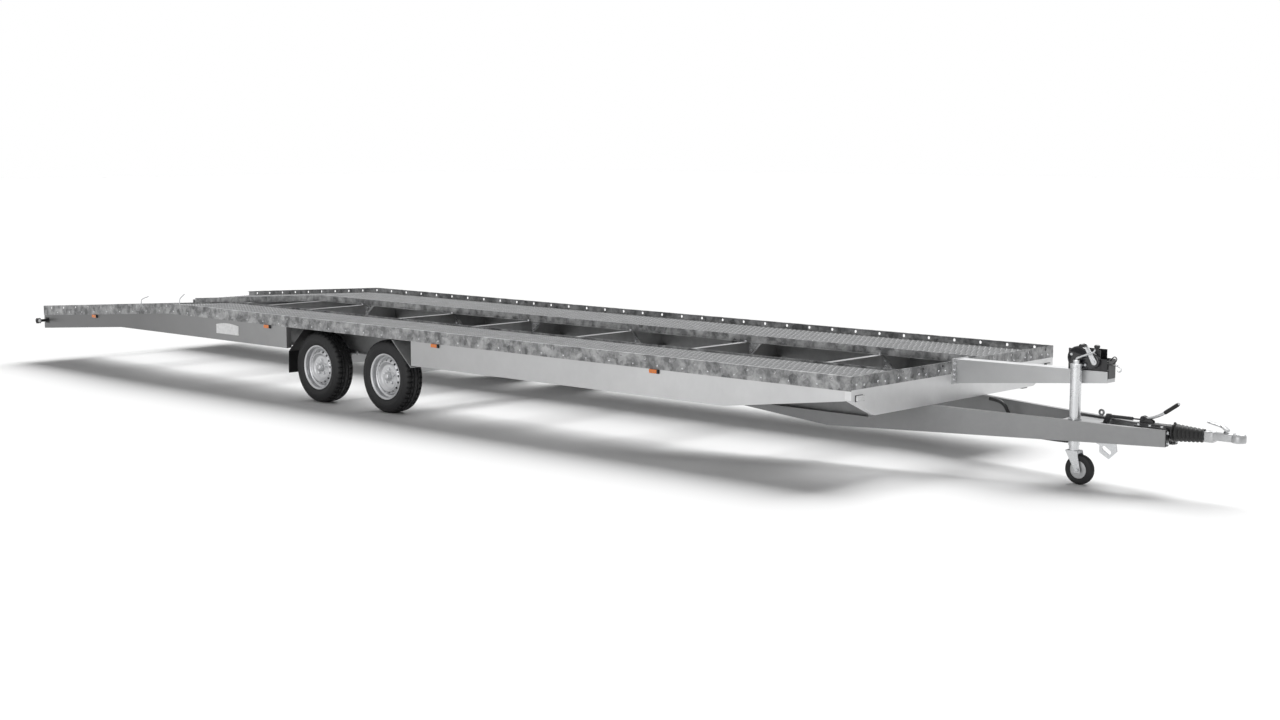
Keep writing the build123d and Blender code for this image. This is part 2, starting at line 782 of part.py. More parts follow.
# Parking brake: a lever on the housing, the strut that throws it over, and the rod to the axles
lever_path = ((1335, 436), (1430, 462), (1505, 512), (1556, 553))
with BuildPart() as handbrake_lever:
    with BuildSketch(upright(16)):
        Polygon(*band([(ahead(x), z) for x, z in lever_path], 22), align=None)
        Polygon(
            (ahead(1318), housing_top),
            (ahead(1400), housing_top),
            (ahead(1385), 462),
            (ahead(1330), 452),
            align=None,
        )
    extrude(amount=32)
handbrake_lever.part.label = "handbrake_lever"
export_step(handbrake_lever.part, "parts/handbrake_lever.step")

strut_z = 434
with BuildPart() as handbrake_strut:
    with BuildSketch(Plane.YZ.offset(ahead(1090))):
        with Locations((0, strut_z)):
            Circle(11)
    extrude(amount=170)
    with BuildSketch(Plane.YZ.offset(ahead(1260))):
        with Locations((0, strut_z)):
            Circle(5)
    extrude(amount=1320 - 1260)
    with BuildSketch(upright(12)):
        Polygon(
            (ahead(bridge_front), bridge_levels[0]),
            (ahead(bridge_front), bridge_levels[1]),
            (ahead(1085), strut_z + 14),
            (ahead(1110), strut_z + 14),
            (ahead(1110), strut_z - 14),
            align=None,
        )
    extrude(amount=24)
handbrake_strut.part.label = "handbrake_strut"
export_step(handbrake_strut.part, "parts/handbrake_strut.step")

brake_rod_y = 60
brake_rod_z = 358
hanger_places = (-1007, -2253, -3464)
with BuildPart() as brake_rod:
    with BuildSketch(Plane.YZ.offset(ahead(-4300))):
        with Locations((brake_rod_y, brake_rod_z)):
            Circle(5)
    extrude(amount=4300 + bridge_rear - 4)
    for place in hanger_places:
        with BuildSketch(Plane.YZ.offset(ahead(place + 10))):
            with Locations((brake_rod_y, (brake_rod_z - 12 + beam_top - cross_depth) / 2)):
                Rectangle(30, beam_top - cross_depth - brake_rod_z + 12)
        extrude(amount=4)
brake_rod.part.label = "brake_rod"
export_step(brake_rod.part, "parts/brake_rod.step")

# Jockey wheel: outer tube and crank, sliding leg, swivelling fork and wheel
jockey_x = ahead(jockey_ahead)
jockey_inner = jockey_tube_radius - jockey_tube_wall
with BuildPart() as jockey_tube:
    with BuildSketch(Plane.XY.offset(jockey_tube_bottom)):
        with Locations((jockey_x, jockey_y)):
            Circle(jockey_tube_radius)
    extrude(amount=jockey_tube_top - jockey_tube_bottom)
    with BuildSketch(Plane.XY.offset(jockey_tube_bottom)):
        with Locations((jockey_x, jockey_y)):
            Circle(jockey_inner)
    extrude(amount=jockey_leg_top + 60 - jockey_tube_bottom, mode=Mode.SUBTRACT)
jockey_tube.part.label = "jockey_tube"
export_step(jockey_tube.part, "parts/jockey_tube.step")

knob_x = ahead(1060)
knob_z = 850
with BuildPart() as jockey_crank:
    with BuildLine() as crank_line:
        FilletPolyline(
            (jockey_x, jockey_y, jockey_tube_top),
            (jockey_x, jockey_y, jockey_tube_top + 34),
            (knob_x - 24, jockey_y, knob_z - 14),
            (knob_x, jockey_y, knob_z + 20),
            radius=12,
        )
    with BuildSketch(Plane.XY.offset(jockey_tube_top)):
        with Locations((jockey_x, jockey_y)):
            Circle(6)
    sweep(path=crank_line.wire())
    with BuildSketch(Plane.XY.offset(jockey_tube_top)):
        with Locations((jockey_x, jockey_y)):
            Circle(18)
    extrude(amount=10)
jockey_crank.part.label = "jockey_crank"
export_step(jockey_crank.part, "parts/jockey_crank.step")

with BuildPart() as jockey_leg:
    with BuildSketch(Plane.XY.offset(jockey_fork_top)):
        with Locations((jockey_x, jockey_y)):
            Circle(jockey_inner - tube_fit)
    extrude(amount=jockey_leg_top - jockey_fork_top)
jockey_leg.part.label = "jockey_leg"
export_step(jockey_leg.part, "parts/jockey_leg.step")

fork_wall = 5
fork_half = jockey_wheel_width / 2 + 6
wheel_x = jockey_x + caster_trail
pin_radius = 8
with BuildPart() as jockey_fork:
    with BuildSketch(upright(jockey_y + fork_half + fork_wall)):
        with BuildLine():
            Polyline(
                (jockey_x - 42, jockey_fork_top - seat_gap),
                (jockey_x + 42, jockey_fork_top - seat_gap),
                (wheel_x + 20, jockey_wheel_radius),
                (wheel_x + 20, jockey_wheel_radius - 18),
                (wheel_x - 20, jockey_wheel_radius - 18),
                (wheel_x - 20, jockey_wheel_radius),
                close=True,
            )
        make_face()
    extrude(amount=2 * (fork_half + fork_wall))
    with BuildSketch(upright(jockey_y + fork_half)):
        with Locations((jockey_x, (jockey_fork_top - seat_gap - fork_wall) / 2)):
            Rectangle(400, jockey_fork_top - seat_gap - fork_wall)
    extrude(amount=2 * fork_half, mode=Mode.SUBTRACT)
    with BuildSketch(upright(jockey_y + fork_half + fork_wall + 6)):
        with Locations((wheel_x, jockey_wheel_radius)):
            Circle(pin_radius)
    extrude(amount=2 * (fork_half + fork_wall + 6))
jockey_fork.part.label = "jockey_fork"
export_step(jockey_fork.part, "parts/jockey_fork.step")

jockey_hub_radius = 56
for name, inner, outer, half in (
    ("jockey_tyre", jockey_hub_radius, jockey_wheel_radius, jockey_wheel_width / 2),
    ("jockey_hub", pin_radius + run_gap, jockey_hub_radius, jockey_wheel_width / 2 - 4),
):
    with BuildPart() as ring_part:
        with BuildSketch(upright(jockey_y + half)):
            with Locations((wheel_x, jockey_wheel_radius)):
                Circle(outer)
                Circle(inner, mode=Mode.SUBTRACT)
        extrude(amount=2 * half)
        if name == "jockey_tyre":
            chamfer(ring_part.edges().filter_by(GeomType.CIRCLE).sort_by(SortBy.RADIUS)[-2:], 8)
    ring_part.part.label = name
    export_step(ring_part.part, f"parts/{name}.step")

# Jockey latch: a notched sector plate under the drawbar with its thin rod, and a grip behind
latch_y = -78
with BuildPart() as jockey_latch:
    with BuildSketch(upright(latch_y)):
        Polygon(
            (ahead(bridge_front), 380),
            (ahead(1150), 330),
            (ahead(1195), 290),
            (ahead(1205), 230),
            (ahead(1150), 178),
            (ahead(1085), 215),
            (ahead(1085), 260),
            (ahead(bridge_front), 270),
            align=None,
        )
        with Locations((ahead(1135), 232)):
            SlotOverall(70, 28, rotation=-35, mode=Mode.SUBTRACT)
    extrude(amount=8)
jockey_latch.part.label = "jockey_latch"
export_step(jockey_latch.part, "parts/jockey_latch.step")

with BuildPart() as jockey_grip:
    with BuildSketch(Plane.YZ.offset(ahead(650))):
        with Locations((jockey_y, jockey_tube_bottom + 22)):
            Circle(13)
    extrude(amount=jockey_ahead - jockey_tube_radius - 650)
jockey_grip.part.label = "jockey_grip"
export_step(jockey_grip.part, "parts/jockey_grip.step")

# Axles: square tubes under the main beams with trailing arms, back plates and wheel stubs
hub_face = tyre_outer_y - tyre_width / 2 + wheel_offset
tyre_inner_y = tyre_outer_y - tyre_width
for place, behind in axle_places:
    axle_x = front_x - behind
    with BuildPart() as axle:
        with BuildSketch(upright(arm_inner_y)):
            with Locations((axle_x + axle_lead, axle_tube_z)):
                Rectangle(axle_tube, axle_tube)
                Rectangle(axle_tube - 2 * axle_tube_wall, axle_tube - 2 * axle_tube_wall,
                          mode=Mode.SUBTRACT)
        extrude(amount=2 * arm_inner_y)
        for side, hand in sides:
            with BuildSketch(upright(hand * arm_inner_y)):
                arm_run = hypot(axle_lead, axle_tube_z - tyre_radius)
                arm_turn = degrees(atan2(axle_tube_z - tyre_radius, axle_lead))
                with Locations((axle_x + axle_lead, axle_tube_z)):
                    Circle(46)
                with Locations((axle_x, tyre_radius)):
                    Circle(34)
                with Locations(Location((axle_x + axle_lead / 2, (axle_tube_z + tyre_radius) / 2, 0),
                                        (0, 0, arm_turn))):
                    Rectangle(arm_run, 62)
            extrude(amount=-hand * arm_thick)
            with BuildSketch(upright(hand * (arm_inner_y + arm_thick))):
                with Locations((axle_x, tyre_radius)):
                    Circle(stub_radius)
            extrude(amount=-hand * (hub_face + 30 - arm_inner_y - arm_thick))
            with BuildSketch(Plane.XY.offset(axle_tube_z + axle_tube / 2)):
                with Locations((axle_x + axle_lead, hand * (main_beam_y + 30))):
                    Rectangle(170, 56)
            extrude(amount=main_beam_bottom - axle_tube_z - axle_tube / 2)
    axle.part.label = f"axle_{place}"
    export_step(axle.part, f"parts/axle_{place}.step")

# Wheels: a steel rim with its disc and brake drum, and the tyre on it
wheel_middle = tyre_outer_y - tyre_width / 2
half_rim = rim_width / 2
half_tyre = tyre_width / 2
disc_face = wheel_offset
rim_holes = 16
hole_ring = 122
hole_radius = 9


def wheel_plane(x, hand):
    """Plane through a wheel's axis. Its x runs outwards along the axle and its y runs up."""
    return Plane((x, hand * wheel_middle, tyre_radius), x_dir=(0, hand, 0), z_dir=(hand, 0, 0))


for place, behind in axle_places:
    for side, hand in sides:
        section = wheel_plane(front_x - behind, hand)
        spin = Axis((front_x - behind, hand * wheel_middle, tyre_radius), (0, 1, 0))
        with BuildPart() as wheel:
            with BuildSketch(section):
                with BuildLine():
                    Polyline(
                        (-half_rim, bead_radius - rim_wall),
                        (-half_rim, flange_radius),
                        (-half_rim + rim_wall, flange_radius),
                        (-half_rim + rim_wall, bead_radius),
                        (half_rim - rim_wall, bead_radius),
                        (half_rim - rim_wall, flange_radius),
                        (half_rim, flange_radius),
                        (half_rim, bead_radius - rim_wall),
                        close=True,
                    )
                make_face()
            revolve(axis=spin)
            with BuildSketch(section):
                with BuildLine():
                    Polyline(
                        (disc_face + 22, bead_radius - rim_wall),
                        (disc_face + 34, 128),
                        (disc_face + 26, 104),
                        (disc_face, 88),
                        (disc_face, 30),
                        (disc_face - 5, 30),
                        (disc_face - 5, 90),
                        (disc_face + 20, 106),
                        (disc_face + 28, 128),
                        (disc_face + 16, bead_radius - rim_wall),
                        close=True,
                    )
                make_face()
            revolve(axis=spin)
            with BuildSketch(section):
                with BuildLine():
                    Polyline(
                        (-half_tyre + 6, stub_radius + run_gap),
                        (-half_tyre + 6, drum_radius),
                        (-10, drum_radius),
                        (disc_face - 20, 84),
                        (disc_face - 5, 84),
                        (disc_face - 5, 32),
                        (disc_face + 22, 32),
                        (disc_face + 34, 26),
                        (disc_face + 34, stub_radius + run_gap),
                        close=True,
                    )
                make_face()
            revolve(axis=spin)
        wheel.part.label = f"wheel_{place}_{side}"
        export_step(wheel.part, f"parts/wheel_{place}_{side}.step")

        with BuildPart() as tyre:
            with BuildSketch(section):
                with BuildLine():
                    bead = half_rim - rim_wall
                    Line((-bead, bead_radius), (bead, bead_radius))
                    Line((bead, bead_radius), (bead, flange_radius + 6))
                    ThreePointArc((bead, flange_radius + 6), (half_tyre, 236), (66, tyre_radius - 7))
                    ThreePointArc((66, tyre_radius - 7), (0, tyre_radius), (-66, tyre_radius - 7))
                    ThreePointArc((-66, tyre_radius - 7), (-half_tyre, 236), (-bead, flange_radius + 6))
                    Line((-bead, flange_radius + 6), (-bead, bead_radius))
                make_face()
            revolve(axis=spin)
        tyre.part.label = f"tyre_{place}_{side}"
        export_step(tyre.part, f"parts/tyre_{place}_{side}.step")

# Mudguards: folded flaps before and behind each pair of wheels
flap_wall = 3
flap_inner_y = main_beam_y + main_beam_wall + main_beam_flange
flap_outer_y = side_beam_y - side_beam_wall
first_axle_x = front_x - axle_places[0][1]
last_axle_x = front_x - axle_places[-1][1]
flap_top = rail_bottom - 8
front_flap = ((first_axle_x + 130, flap_top), (first_axle_x + 356, tyre_radius + 103))
rear_flap = ((last_axle_x - 130, flap_top), (last_axle_x - 340, tyre_radius + 110),
             (last_axle_x - 346, tyre_radius - 70))
for side, hand in sides:
    with BuildPart() as mudguard:
        for points, way in ((front_flap, 1), (rear_flap, -1)):
            with BuildSketch(upright(hand * flap_inner_y)):
                Polygon(*band(points, way * flap_wall), align=None)
            extrude(amount=-hand * (flap_outer_y - flap_inner_y))
    mudguard.part.label = f"mudguard_{side}"
    export_step(mudguard.part, f"parts/mudguard_{side}.step")
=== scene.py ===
# %% [markdown]
# # A car hauler trailer in galvanised steel
#
# The trailer is a welded and bolted frame of folded sheet, dipped whole in molten zinc. Its sizes are
# fixed already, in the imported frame, so this lesson is about what the eye meets: the crystals in the
# zinc, the dimples in the planks, the tyres and pressed steel wheels, the winch and the coupling. All
# sizes here are in metres, in the frame's own axes: +X to the hitch, +Y to the trailer's left, +Z up.
# A place called ahead or behind is counted from the deck's front edge, and hand is 1 on the left side
# and -1 on the right.

# %% Load the frame
import json
import math

import bmesh
import bpy
from mathutils import Matrix, Vector


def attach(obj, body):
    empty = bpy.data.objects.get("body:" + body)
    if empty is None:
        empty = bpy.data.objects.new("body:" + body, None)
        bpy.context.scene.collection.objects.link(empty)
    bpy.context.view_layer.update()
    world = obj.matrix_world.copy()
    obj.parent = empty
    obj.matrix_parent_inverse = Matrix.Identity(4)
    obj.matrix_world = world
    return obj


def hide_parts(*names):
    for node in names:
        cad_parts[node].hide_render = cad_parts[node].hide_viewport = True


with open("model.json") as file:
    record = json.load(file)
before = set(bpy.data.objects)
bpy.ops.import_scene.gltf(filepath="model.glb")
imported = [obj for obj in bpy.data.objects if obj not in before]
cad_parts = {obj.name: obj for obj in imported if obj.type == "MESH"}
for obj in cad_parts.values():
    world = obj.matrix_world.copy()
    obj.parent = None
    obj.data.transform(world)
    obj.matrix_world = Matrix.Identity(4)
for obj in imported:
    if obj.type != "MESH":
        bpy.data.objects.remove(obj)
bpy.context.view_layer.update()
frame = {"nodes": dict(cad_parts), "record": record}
nodes = frame["nodes"]

# %% [markdown]
# ## The camera
# The picture is taken from the front right, a little above the deck, with a lens of about 50 mm.
# The direction is written as a turn and a tilt, which is how a photographer would say it, and the
# camera is aimed by a direction instead of by three angles.

# %% Place the camera
camera_place = Vector((10.445, -10.139, 2.119))
camera_turn = math.radians(43.0)
camera_tilt = math.radians(6.83)
camera_lens = 50.95

camera_data = bpy.data.cameras.new("camera")
camera_data.lens = camera_lens
camera_data.clip_end = 200
camera = bpy.data.objects.new("camera", camera_data)
bpy.context.scene.collection.objects.link(camera)
view = Vector((-math.sin(camera_turn) * math.cos(camera_tilt),
               math.cos(camera_turn) * math.cos(camera_tilt),
               -math.sin(camera_tilt)))
camera.location = camera_place
camera.rotation_euler = view.to_track_quat("-Z", "Y").to_euler()
bpy.context.scene.camera = camera
print("camera", round((camera_place - Vector((0, 0, 0.5))).length, 2), "m from the middle")

# %% [markdown]
# ## Helpers for materials
# Every finish is made of a few nodes: a pattern, a way to map it to colours, and a bump. Naming these
# steps once keeps each material short enough to read. The Mix node numbers its sockets by the kind of
# value, so one helper knows the numbers and the rest of the script needs none.


# %% Material helpers
def add_node(tree, kind, **values):
    """A shader node with its sockets set by name, or its properties where no socket has the name."""
    node = tree.nodes.new(kind)
    for name, value in values.items():
        label = name.replace("_", " ").title()
        if label in node.inputs:
            node.inputs[label].default_value = value
        else:
            setattr(node, name, value)
    return node


def new_material(name, colour, metallic=0.0, roughness=0.5, coat=0.0):
    """A material with one Principled shader. Returns the material, its tree and the shader."""
    material = bpy.data.materials.new(name)
    material.use_nodes = True
    tree = material.node_tree
    shader = tree.nodes["Principled BSDF"]
    shader.inputs["Base Color"].default_value = (*colour, 1)
    shader.inputs["Metallic"].default_value = metallic
    shader.inputs["Roughness"].default_value = roughness
    shader.inputs["Coat Weight"].default_value = coat
    material.diffuse_color = (*colour, 1)
    return material, tree, shader


def mixed(tree, kind, factor, first, second, blend="MIX"):
    """The result of a Mix node of the kind FLOAT or RGBA. Each input is a socket or a plain value."""
    node = add_node(tree, "ShaderNodeMix", data_type=kind, blend_type=blend)
    place, result = (2, 0) if kind == "FLOAT" else (6, 2)
    for socket, value in ((node.inputs["Factor"], factor), (node.inputs[place], first),
                          (node.inputs[place + 1], second)):
        if isinstance(value, bpy.types.NodeSocket):
            tree.links.new(value, socket)
        else:
            socket.default_value = value
    return node.outputs[result]


def object_point(tree):
    """The point on the object, in metres."""
    return tree.nodes.new("ShaderNodeTexCoord").outputs["Object"]


def along_trailer(tree):
    """How far forward the point lies on the trailer, in metres."""
    axes = tree.nodes.new("ShaderNodeSeparateXYZ")
    tree.links.new(object_point(tree), axes.inputs["Vector"])
    return axes.outputs["X"]


print("material helpers ready")

# %% [markdown]
# ## Zinc, as a group
# Molten zinc freezes in crystals, so a dipped sheet is a patchwork of greys, each patch a little
# brighter or duller, with soft clouds over it. Rolled sheet that was coated before folding is almost
# even, and plate that was dipped last is blotchy, so one input says how strong the patches are. More
# than one material needs this, so it is a node group. It gives out a colour, a roughness and a height,
# and the shader stays in the material itself.

# %% Open the zinc group
zinc = bpy.data.node_groups.new("zinc_skin", "ShaderNodeTree")
for socket_name, socket_type, default in (
    ("Light", "NodeSocketColor", (0.62, 0.64, 0.65, 1)),
    ("Dark", "NodeSocketColor", (0.45, 0.47, 0.49, 1)),
    ("Patch", "NodeSocketFloat", 55.0),
    ("Contrast", "NodeSocketFloat", 0.5),
    ("Shine", "NodeSocketFloat", 0.38),
):
    socket = zinc.interface.new_socket(socket_name, in_out="INPUT", socket_type=socket_type)
    socket.default_value = default
for socket_name, socket_type in (("Color", "NodeSocketColor"), ("Roughness", "NodeSocketFloat"),
                                 ("Height", "NodeSocketFloat")):
    zinc.interface.new_socket(socket_name, in_out="OUTPUT", socket_type=socket_type)
zinc_in = zinc.nodes.new("NodeGroupInput")
zinc_out = zinc.nodes.new("NodeGroupOutput")
print("zinc group with", len(zinc.interface.items_tree), "sockets")

# %% [markdown]
# ## Crystals, blotches and clouds
# A Voronoi texture gives each crystal a grey of its own, because its cells have straight edges as
# crystals do. Two noises lie over it: one breaks the crystals into blotches a hand wide, and one lets
# a whole sheet drift from light to dull. A painted picture could do this too, but a pattern on the
# object's own metres needs no picture and stays sharp at any distance.


# %% Draw the pattern
def noise_mask(tree, scale, detail, roughness, low, high):
    """A cloudy mask, where the noise from low to high is spread over 0 to 1."""
    noise = add_node(tree, "ShaderNodeTexNoise", scale=scale, detail=detail, roughness=roughness)
    tree.links.new(object_point(tree), noise.inputs["Vector"])
    spread = add_node(tree, "ShaderNodeMapRange", from_min=low, from_max=high)
    tree.links.new(noise.outputs["Fac"], spread.inputs["Value"])
    return spread.outputs["Result"]


crystals = add_node(zinc, "ShaderNodeTexVoronoi", feature="F1", randomness=1.0)
zinc.links.new(object_point(zinc), crystals.inputs["Vector"])
zinc.links.new(zinc_in.outputs["Patch"], crystals.inputs["Scale"])
crystal_grey = add_node(zinc, "ShaderNodeRGBToBW")
zinc.links.new(crystals.outputs["Color"], crystal_grey.inputs["Color"])
blotches = noise_mask(zinc, 11.0, 6.0, 0.68, 0.40, 0.62)
clouds = noise_mask(zinc, 1.3, 4.0, 0.6, 0.3, 0.7)
crystal_share = 0.45
patches = mixed(zinc, "FLOAT", crystal_share, blotches, crystal_grey.outputs["Val"])
zinc_share = mixed(zinc, "FLOAT", zinc_in.outputs["Contrast"], clouds, patches)
print("crystals make up", crystal_share, "of the patches")

# %% [markdown]
# ## What the group gives out
# The lighter a patch is, the lighter its colour and the rougher its skin, since light crystals are
# the ones that scatter. The same value is the height for the bump, so colour and relief agree.

# %% Give out the zinc
crystal_dulling = 0.16
zinc_colour = mixed(zinc, "RGBA", zinc_share, zinc_in.outputs["Dark"], zinc_in.outputs["Light"])
zinc_rough = add_node(zinc, "ShaderNodeMath", operation="MULTIPLY_ADD")
zinc.links.new(zinc_share, zinc_rough.inputs[0])
zinc_rough.inputs[1].default_value = crystal_dulling
zinc.links.new(zinc_in.outputs["Shine"], zinc_rough.inputs[2])
for output_name, result in (("Color", zinc_colour), ("Roughness", zinc_rough.outputs[0]),
                            ("Height", zinc_share)):
    zinc.links.new(result, zinc_out.inputs[output_name])
print("zinc group with", len(zinc.nodes), "nodes")

# %% [markdown]
# ## The zinc finishes
# The same zinc group serves the smooth beams, the blotchy rails, the darker planks and the bright
# small parts, each with its own greys. A material is a short function call for each finish: a light
# and a dark grey, the crystals per metre, the contrast, the gloss and the share of bare metal.


# %% Mix the zinc finishes
def zinc_finish(name, light, dark, patch, contrast, shine, metallic=0.5, bump=0.05):
    """Galvanised steel: the zinc group in front of one shader."""
    material, tree, shader = new_material(name, light, metallic)
    skin = tree.nodes.new("ShaderNodeGroup")
    skin.node_tree = zinc
    for socket_name, value in (("Light", (*light, 1)), ("Dark", (*dark, 1)), ("Patch", patch),
                               ("Contrast", contrast), ("Shine", shine)):
        skin.inputs[socket_name].default_value = value
    relief = add_node(tree, "ShaderNodeBump", strength=bump, distance=0.002)
    tree.links.new(skin.outputs["Color"], shader.inputs["Base Color"])
    tree.links.new(skin.outputs["Roughness"], shader.inputs["Roughness"])
    tree.links.new(skin.outputs["Height"], relief.inputs["Height"])
    tree.links.new(relief.outputs["Normal"], shader.inputs["Normal"])
    return material


sheet_zinc = zinc_finish("sheet_zinc", (0.66, 0.665, 0.67), (0.53, 0.535, 0.54), 30, 0.18, 0.34)
beam_zinc = zinc_finish("beam_zinc", (0.76, 0.763, 0.767), (0.62, 0.623, 0.627), 30, 0.2, 0.32)
# The drawbar and the beams under the deck get darker copies of the zinc: painted shade, for the shade that
# falls under the deck and inside the drawbar's channels.
drawbar_painted_shade_zinc = zinc_finish("drawbar_painted_shade_zinc", (0.34, 0.342, 0.345), (0.26, 0.262, 0.265), 30, 0.3, 0.38)
under_deck_painted_shade_zinc = zinc_finish("under_deck_painted_shade_zinc", (0.34, 0.342, 0.345), (0.22, 0.222, 0.225), 26, 0.6, 0.42)
dipped_zinc = zinc_finish("dipped_zinc", (0.58, 0.583, 0.587), (0.07, 0.072, 0.075), 20, 0.95, 0.42, 0.35)
front_zinc = zinc_finish("front_zinc", (0.86, 0.863, 0.867), (0.72, 0.723, 0.727), 30, 0.3, 0.34)
plank_zinc = zinc_finish("plank_zinc", (0.20, 0.202, 0.205), (0.08, 0.082, 0.084), 20, 0.85, 0.62, 0.25)
dimple_zinc = zinc_finish("dimple_zinc", (0.32, 0.322, 0.325), (0.17, 0.172, 0.174), 34, 0.65, 0.50, 0.35)
bright_zinc = zinc_finish("bright_zinc", (0.80, 0.81, 0.82), (0.62, 0.63, 0.645), 160, 0.5, 0.18, 0.8)
cast_silver = zinc_finish("cast_silver", (0.66, 0.665, 0.67), (0.44, 0.445, 0.45), 120, 0.7, 0.3, 0.65)
wheel_silver = zinc_finish("wheel_silver", (0.70, 0.705, 0.715), (0.58, 0.585, 0.60), 300, 0.4, 0.26, 0.6)
print("eleven zinc finishes")

# %% [markdown]
# ## Painted shade towards the tail
# The long side beams are bright at the front of the trailer and much darker near its tail, where they
# lie in shade, and this shade is painted into their colour: the colour is multiplied by a value that
# rises along the trailer. A second material would show a seam in the beam, and a slope has none.

# %% Paint shade on the side beams
# Painted shade: towards the tail the side beams' colour falls to this share of its brightness.
tail_shade_x = -4.2
front_light_x = 2.6
tail_shade_share = 0.30
beam_tree = beam_zinc.node_tree
beam_shader = beam_tree.nodes["Principled BSDF"]
beam_colour = beam_shader.inputs["Base Color"].links[0].from_socket
painted_shade_ramp = add_node(beam_tree, "ShaderNodeMapRange", from_min=tail_shade_x, from_max=front_light_x, to_min=tail_shade_share,
                to_max=1.0)
beam_tree.links.new(along_trailer(beam_tree), painted_shade_ramp.inputs["Value"])
painted_shade_colour = mixed(beam_tree, "RGBA", 1.0, beam_colour, painted_shade_ramp.outputs["Result"], "MULTIPLY")
beam_tree.links.new(painted_shade_colour, beam_shader.inputs["Base Color"])
print("side beams at", tail_shade_share, "of their brightness behind x =", tail_shade_x)

# %% [markdown]
# ## Rubber, plastic and lamps
# Rubber and moulded plastic are nearly black, and look real only through their gloss: a fine noise
# breaks the highlight. The lamp lenses are coloured, smooth and a little clear coated.


# %% Mix the dark and coloured finishes
def grained_finish(name, colour, roughness, grain, bump, coat=0.0, metallic=0.0):
    """A moulded or painted surface, with a fine grain that breaks its gloss."""
    material, tree, shader = new_material(name, colour, metallic, roughness, coat)
    noise = add_node(tree, "ShaderNodeTexNoise", scale=grain, detail=4.0)
    tree.links.new(object_point(tree), noise.inputs["Vector"])
    gloss = add_node(tree, "ShaderNodeMapRange", to_min=roughness * 0.75, to_max=min(1, roughness * 1.3))
    tree.links.new(noise.outputs["Fac"], gloss.inputs["Value"])
    tree.links.new(gloss.outputs["Result"], shader.inputs["Roughness"])
    deep = (*(c * 0.7 for c in colour), 1)
    pale = (*(min(1, c * 1.25) for c in colour), 1)
    tree.links.new(mixed(tree, "RGBA", noise.outputs["Fac"], deep, pale), shader.inputs["Base Color"])
    relief = add_node(tree, "ShaderNodeBump", strength=bump, distance=0.001)
    tree.links.new(noise.outputs["Fac"], relief.inputs["Height"])
    tree.links.new(relief.outputs["Normal"], shader.inputs["Normal"])
    return material


tyre_rubber = grained_finish("tyre_rubber", (0.011, 0.011, 0.012), 0.58, 320, 0.15)
black_rubber = grained_finish("black_rubber", (0.014, 0.014, 0.014), 0.55, 500, 0.1)
black_plastic = grained_finish("black_plastic", (0.018, 0.018, 0.019), 0.38, 700, 0.1)
black_gloss = grained_finish("black_gloss", (0.006, 0.006, 0.009), 0.10, 60, 0.02, 0.6)
black_steel = grained_finish("black_steel", (0.02, 0.02, 0.022), 0.33, 300, 0.05, 0.2)
amber_lens = grained_finish("amber_lens", (0.80, 0.20, 0.012), 0.15, 150, 0.02, 0.5)
red_lens = grained_finish("red_lens", (0.42, 0.012, 0.010), 0.15, 150, 0.02, 0.5)
white_lens = grained_finish("white_lens", (0.80, 0.81, 0.82), 0.15, 150, 0.02, 0.5)
white_plate = grained_finish("white_plate", (0.86, 0.87, 0.88), 0.3, 40, 0.02, 0.2)
print("nine dark and coloured finishes")

# %% [markdown]
# ## The mudguards' two materials
# In front of the wheels the mudguard is bent zinc sheet, and behind them it ends in a black rubber
# flap. Both are one piece in the frame, so one material changes from zinc to rubber at a place along
# the trailer. The change is a sharp step, as at a real seam.

# %% Join zinc and rubber
seam_x = -1.2
flap_black = (0.016, 0.016, 0.017, 1)
guard_metallic = 0.5
mudguard_finish = zinc_finish("mudguard_finish", (0.66, 0.665, 0.67), (0.50, 0.505, 0.51), 26, 0.6, 0.36)
guard_tree = mudguard_finish.node_tree
guard_shader = guard_tree.nodes["Principled BSDF"]
guard_colour = guard_shader.inputs["Base Color"].links[0].from_socket
seam = add_node(guard_tree, "ShaderNodeMath", operation="GREATER_THAN")
seam.inputs[1].default_value = seam_x
guard_tree.links.new(along_trailer(guard_tree), seam.inputs[0])
guard_mix = mixed(guard_tree, "RGBA", seam.outputs[0], flap_black, guard_colour)
guard_tree.links.new(guard_mix, guard_shader.inputs["Base Color"])
guard_metal = add_node(guard_tree, "ShaderNodeMath", operation="MULTIPLY")
guard_metal.inputs[1].default_value = guard_metallic
guard_tree.links.new(seam.outputs[0], guard_metal.inputs[0])
guard_tree.links.new(guard_metal.outputs[0], guard_shader.inputs["Metallic"])
print("mudguards: rubber behind x =", seam_x)

# %% [markdown]
# ## Finishes on the frame
# Each node of the frame has a material slot in the record, and the slot gives its finish. Galvanised
# steel has several: the rails and gussets show large crystals, the beams are even, and what lies
# under the deck or forms the drawbar gets a darker grey, which is painted shade.

# %% Finish the frame's nodes
slot_finish = {
    "galvanised": sheet_zinc, "deck_steel": plank_zinc, "zinc_plated": bright_zinc,
    "cast_silver": cast_silver, "wheel_silver": wheel_silver, "tyre_rubber": tyre_rubber,
    "black_rubber": black_rubber, "black_plastic": black_plastic, "black_gloss": black_gloss,
    "black_steel": black_steel, "amber_lens": amber_lens, "red_lens": red_lens,
    "white_lens": white_lens, "white_plate": white_plate,
}
own_finish = {}
for names, finish in (
    (("side_rail_left", "side_rail_right", "front_rails", "inner_rails", "gussets"), dipped_zinc),
    (("main_beam_left", "main_beam_right", "cross_members", "outriggers", "rear_beam"), under_deck_painted_shade_zinc),
    (("drawbar_left", "drawbar_right", "drawbar_bridge"), drawbar_painted_shade_zinc),
    (("side_beam_left", "side_beam_right"), beam_zinc),
    (("front_beam",), front_zinc),
    (("mudguard_left", "mudguard_right"), mudguard_finish),
):
    for name in names:
        own_finish[name] = finish
slot_of = {part["node"]: part["material_slot"] for part in frame["record"]["subparts"]}
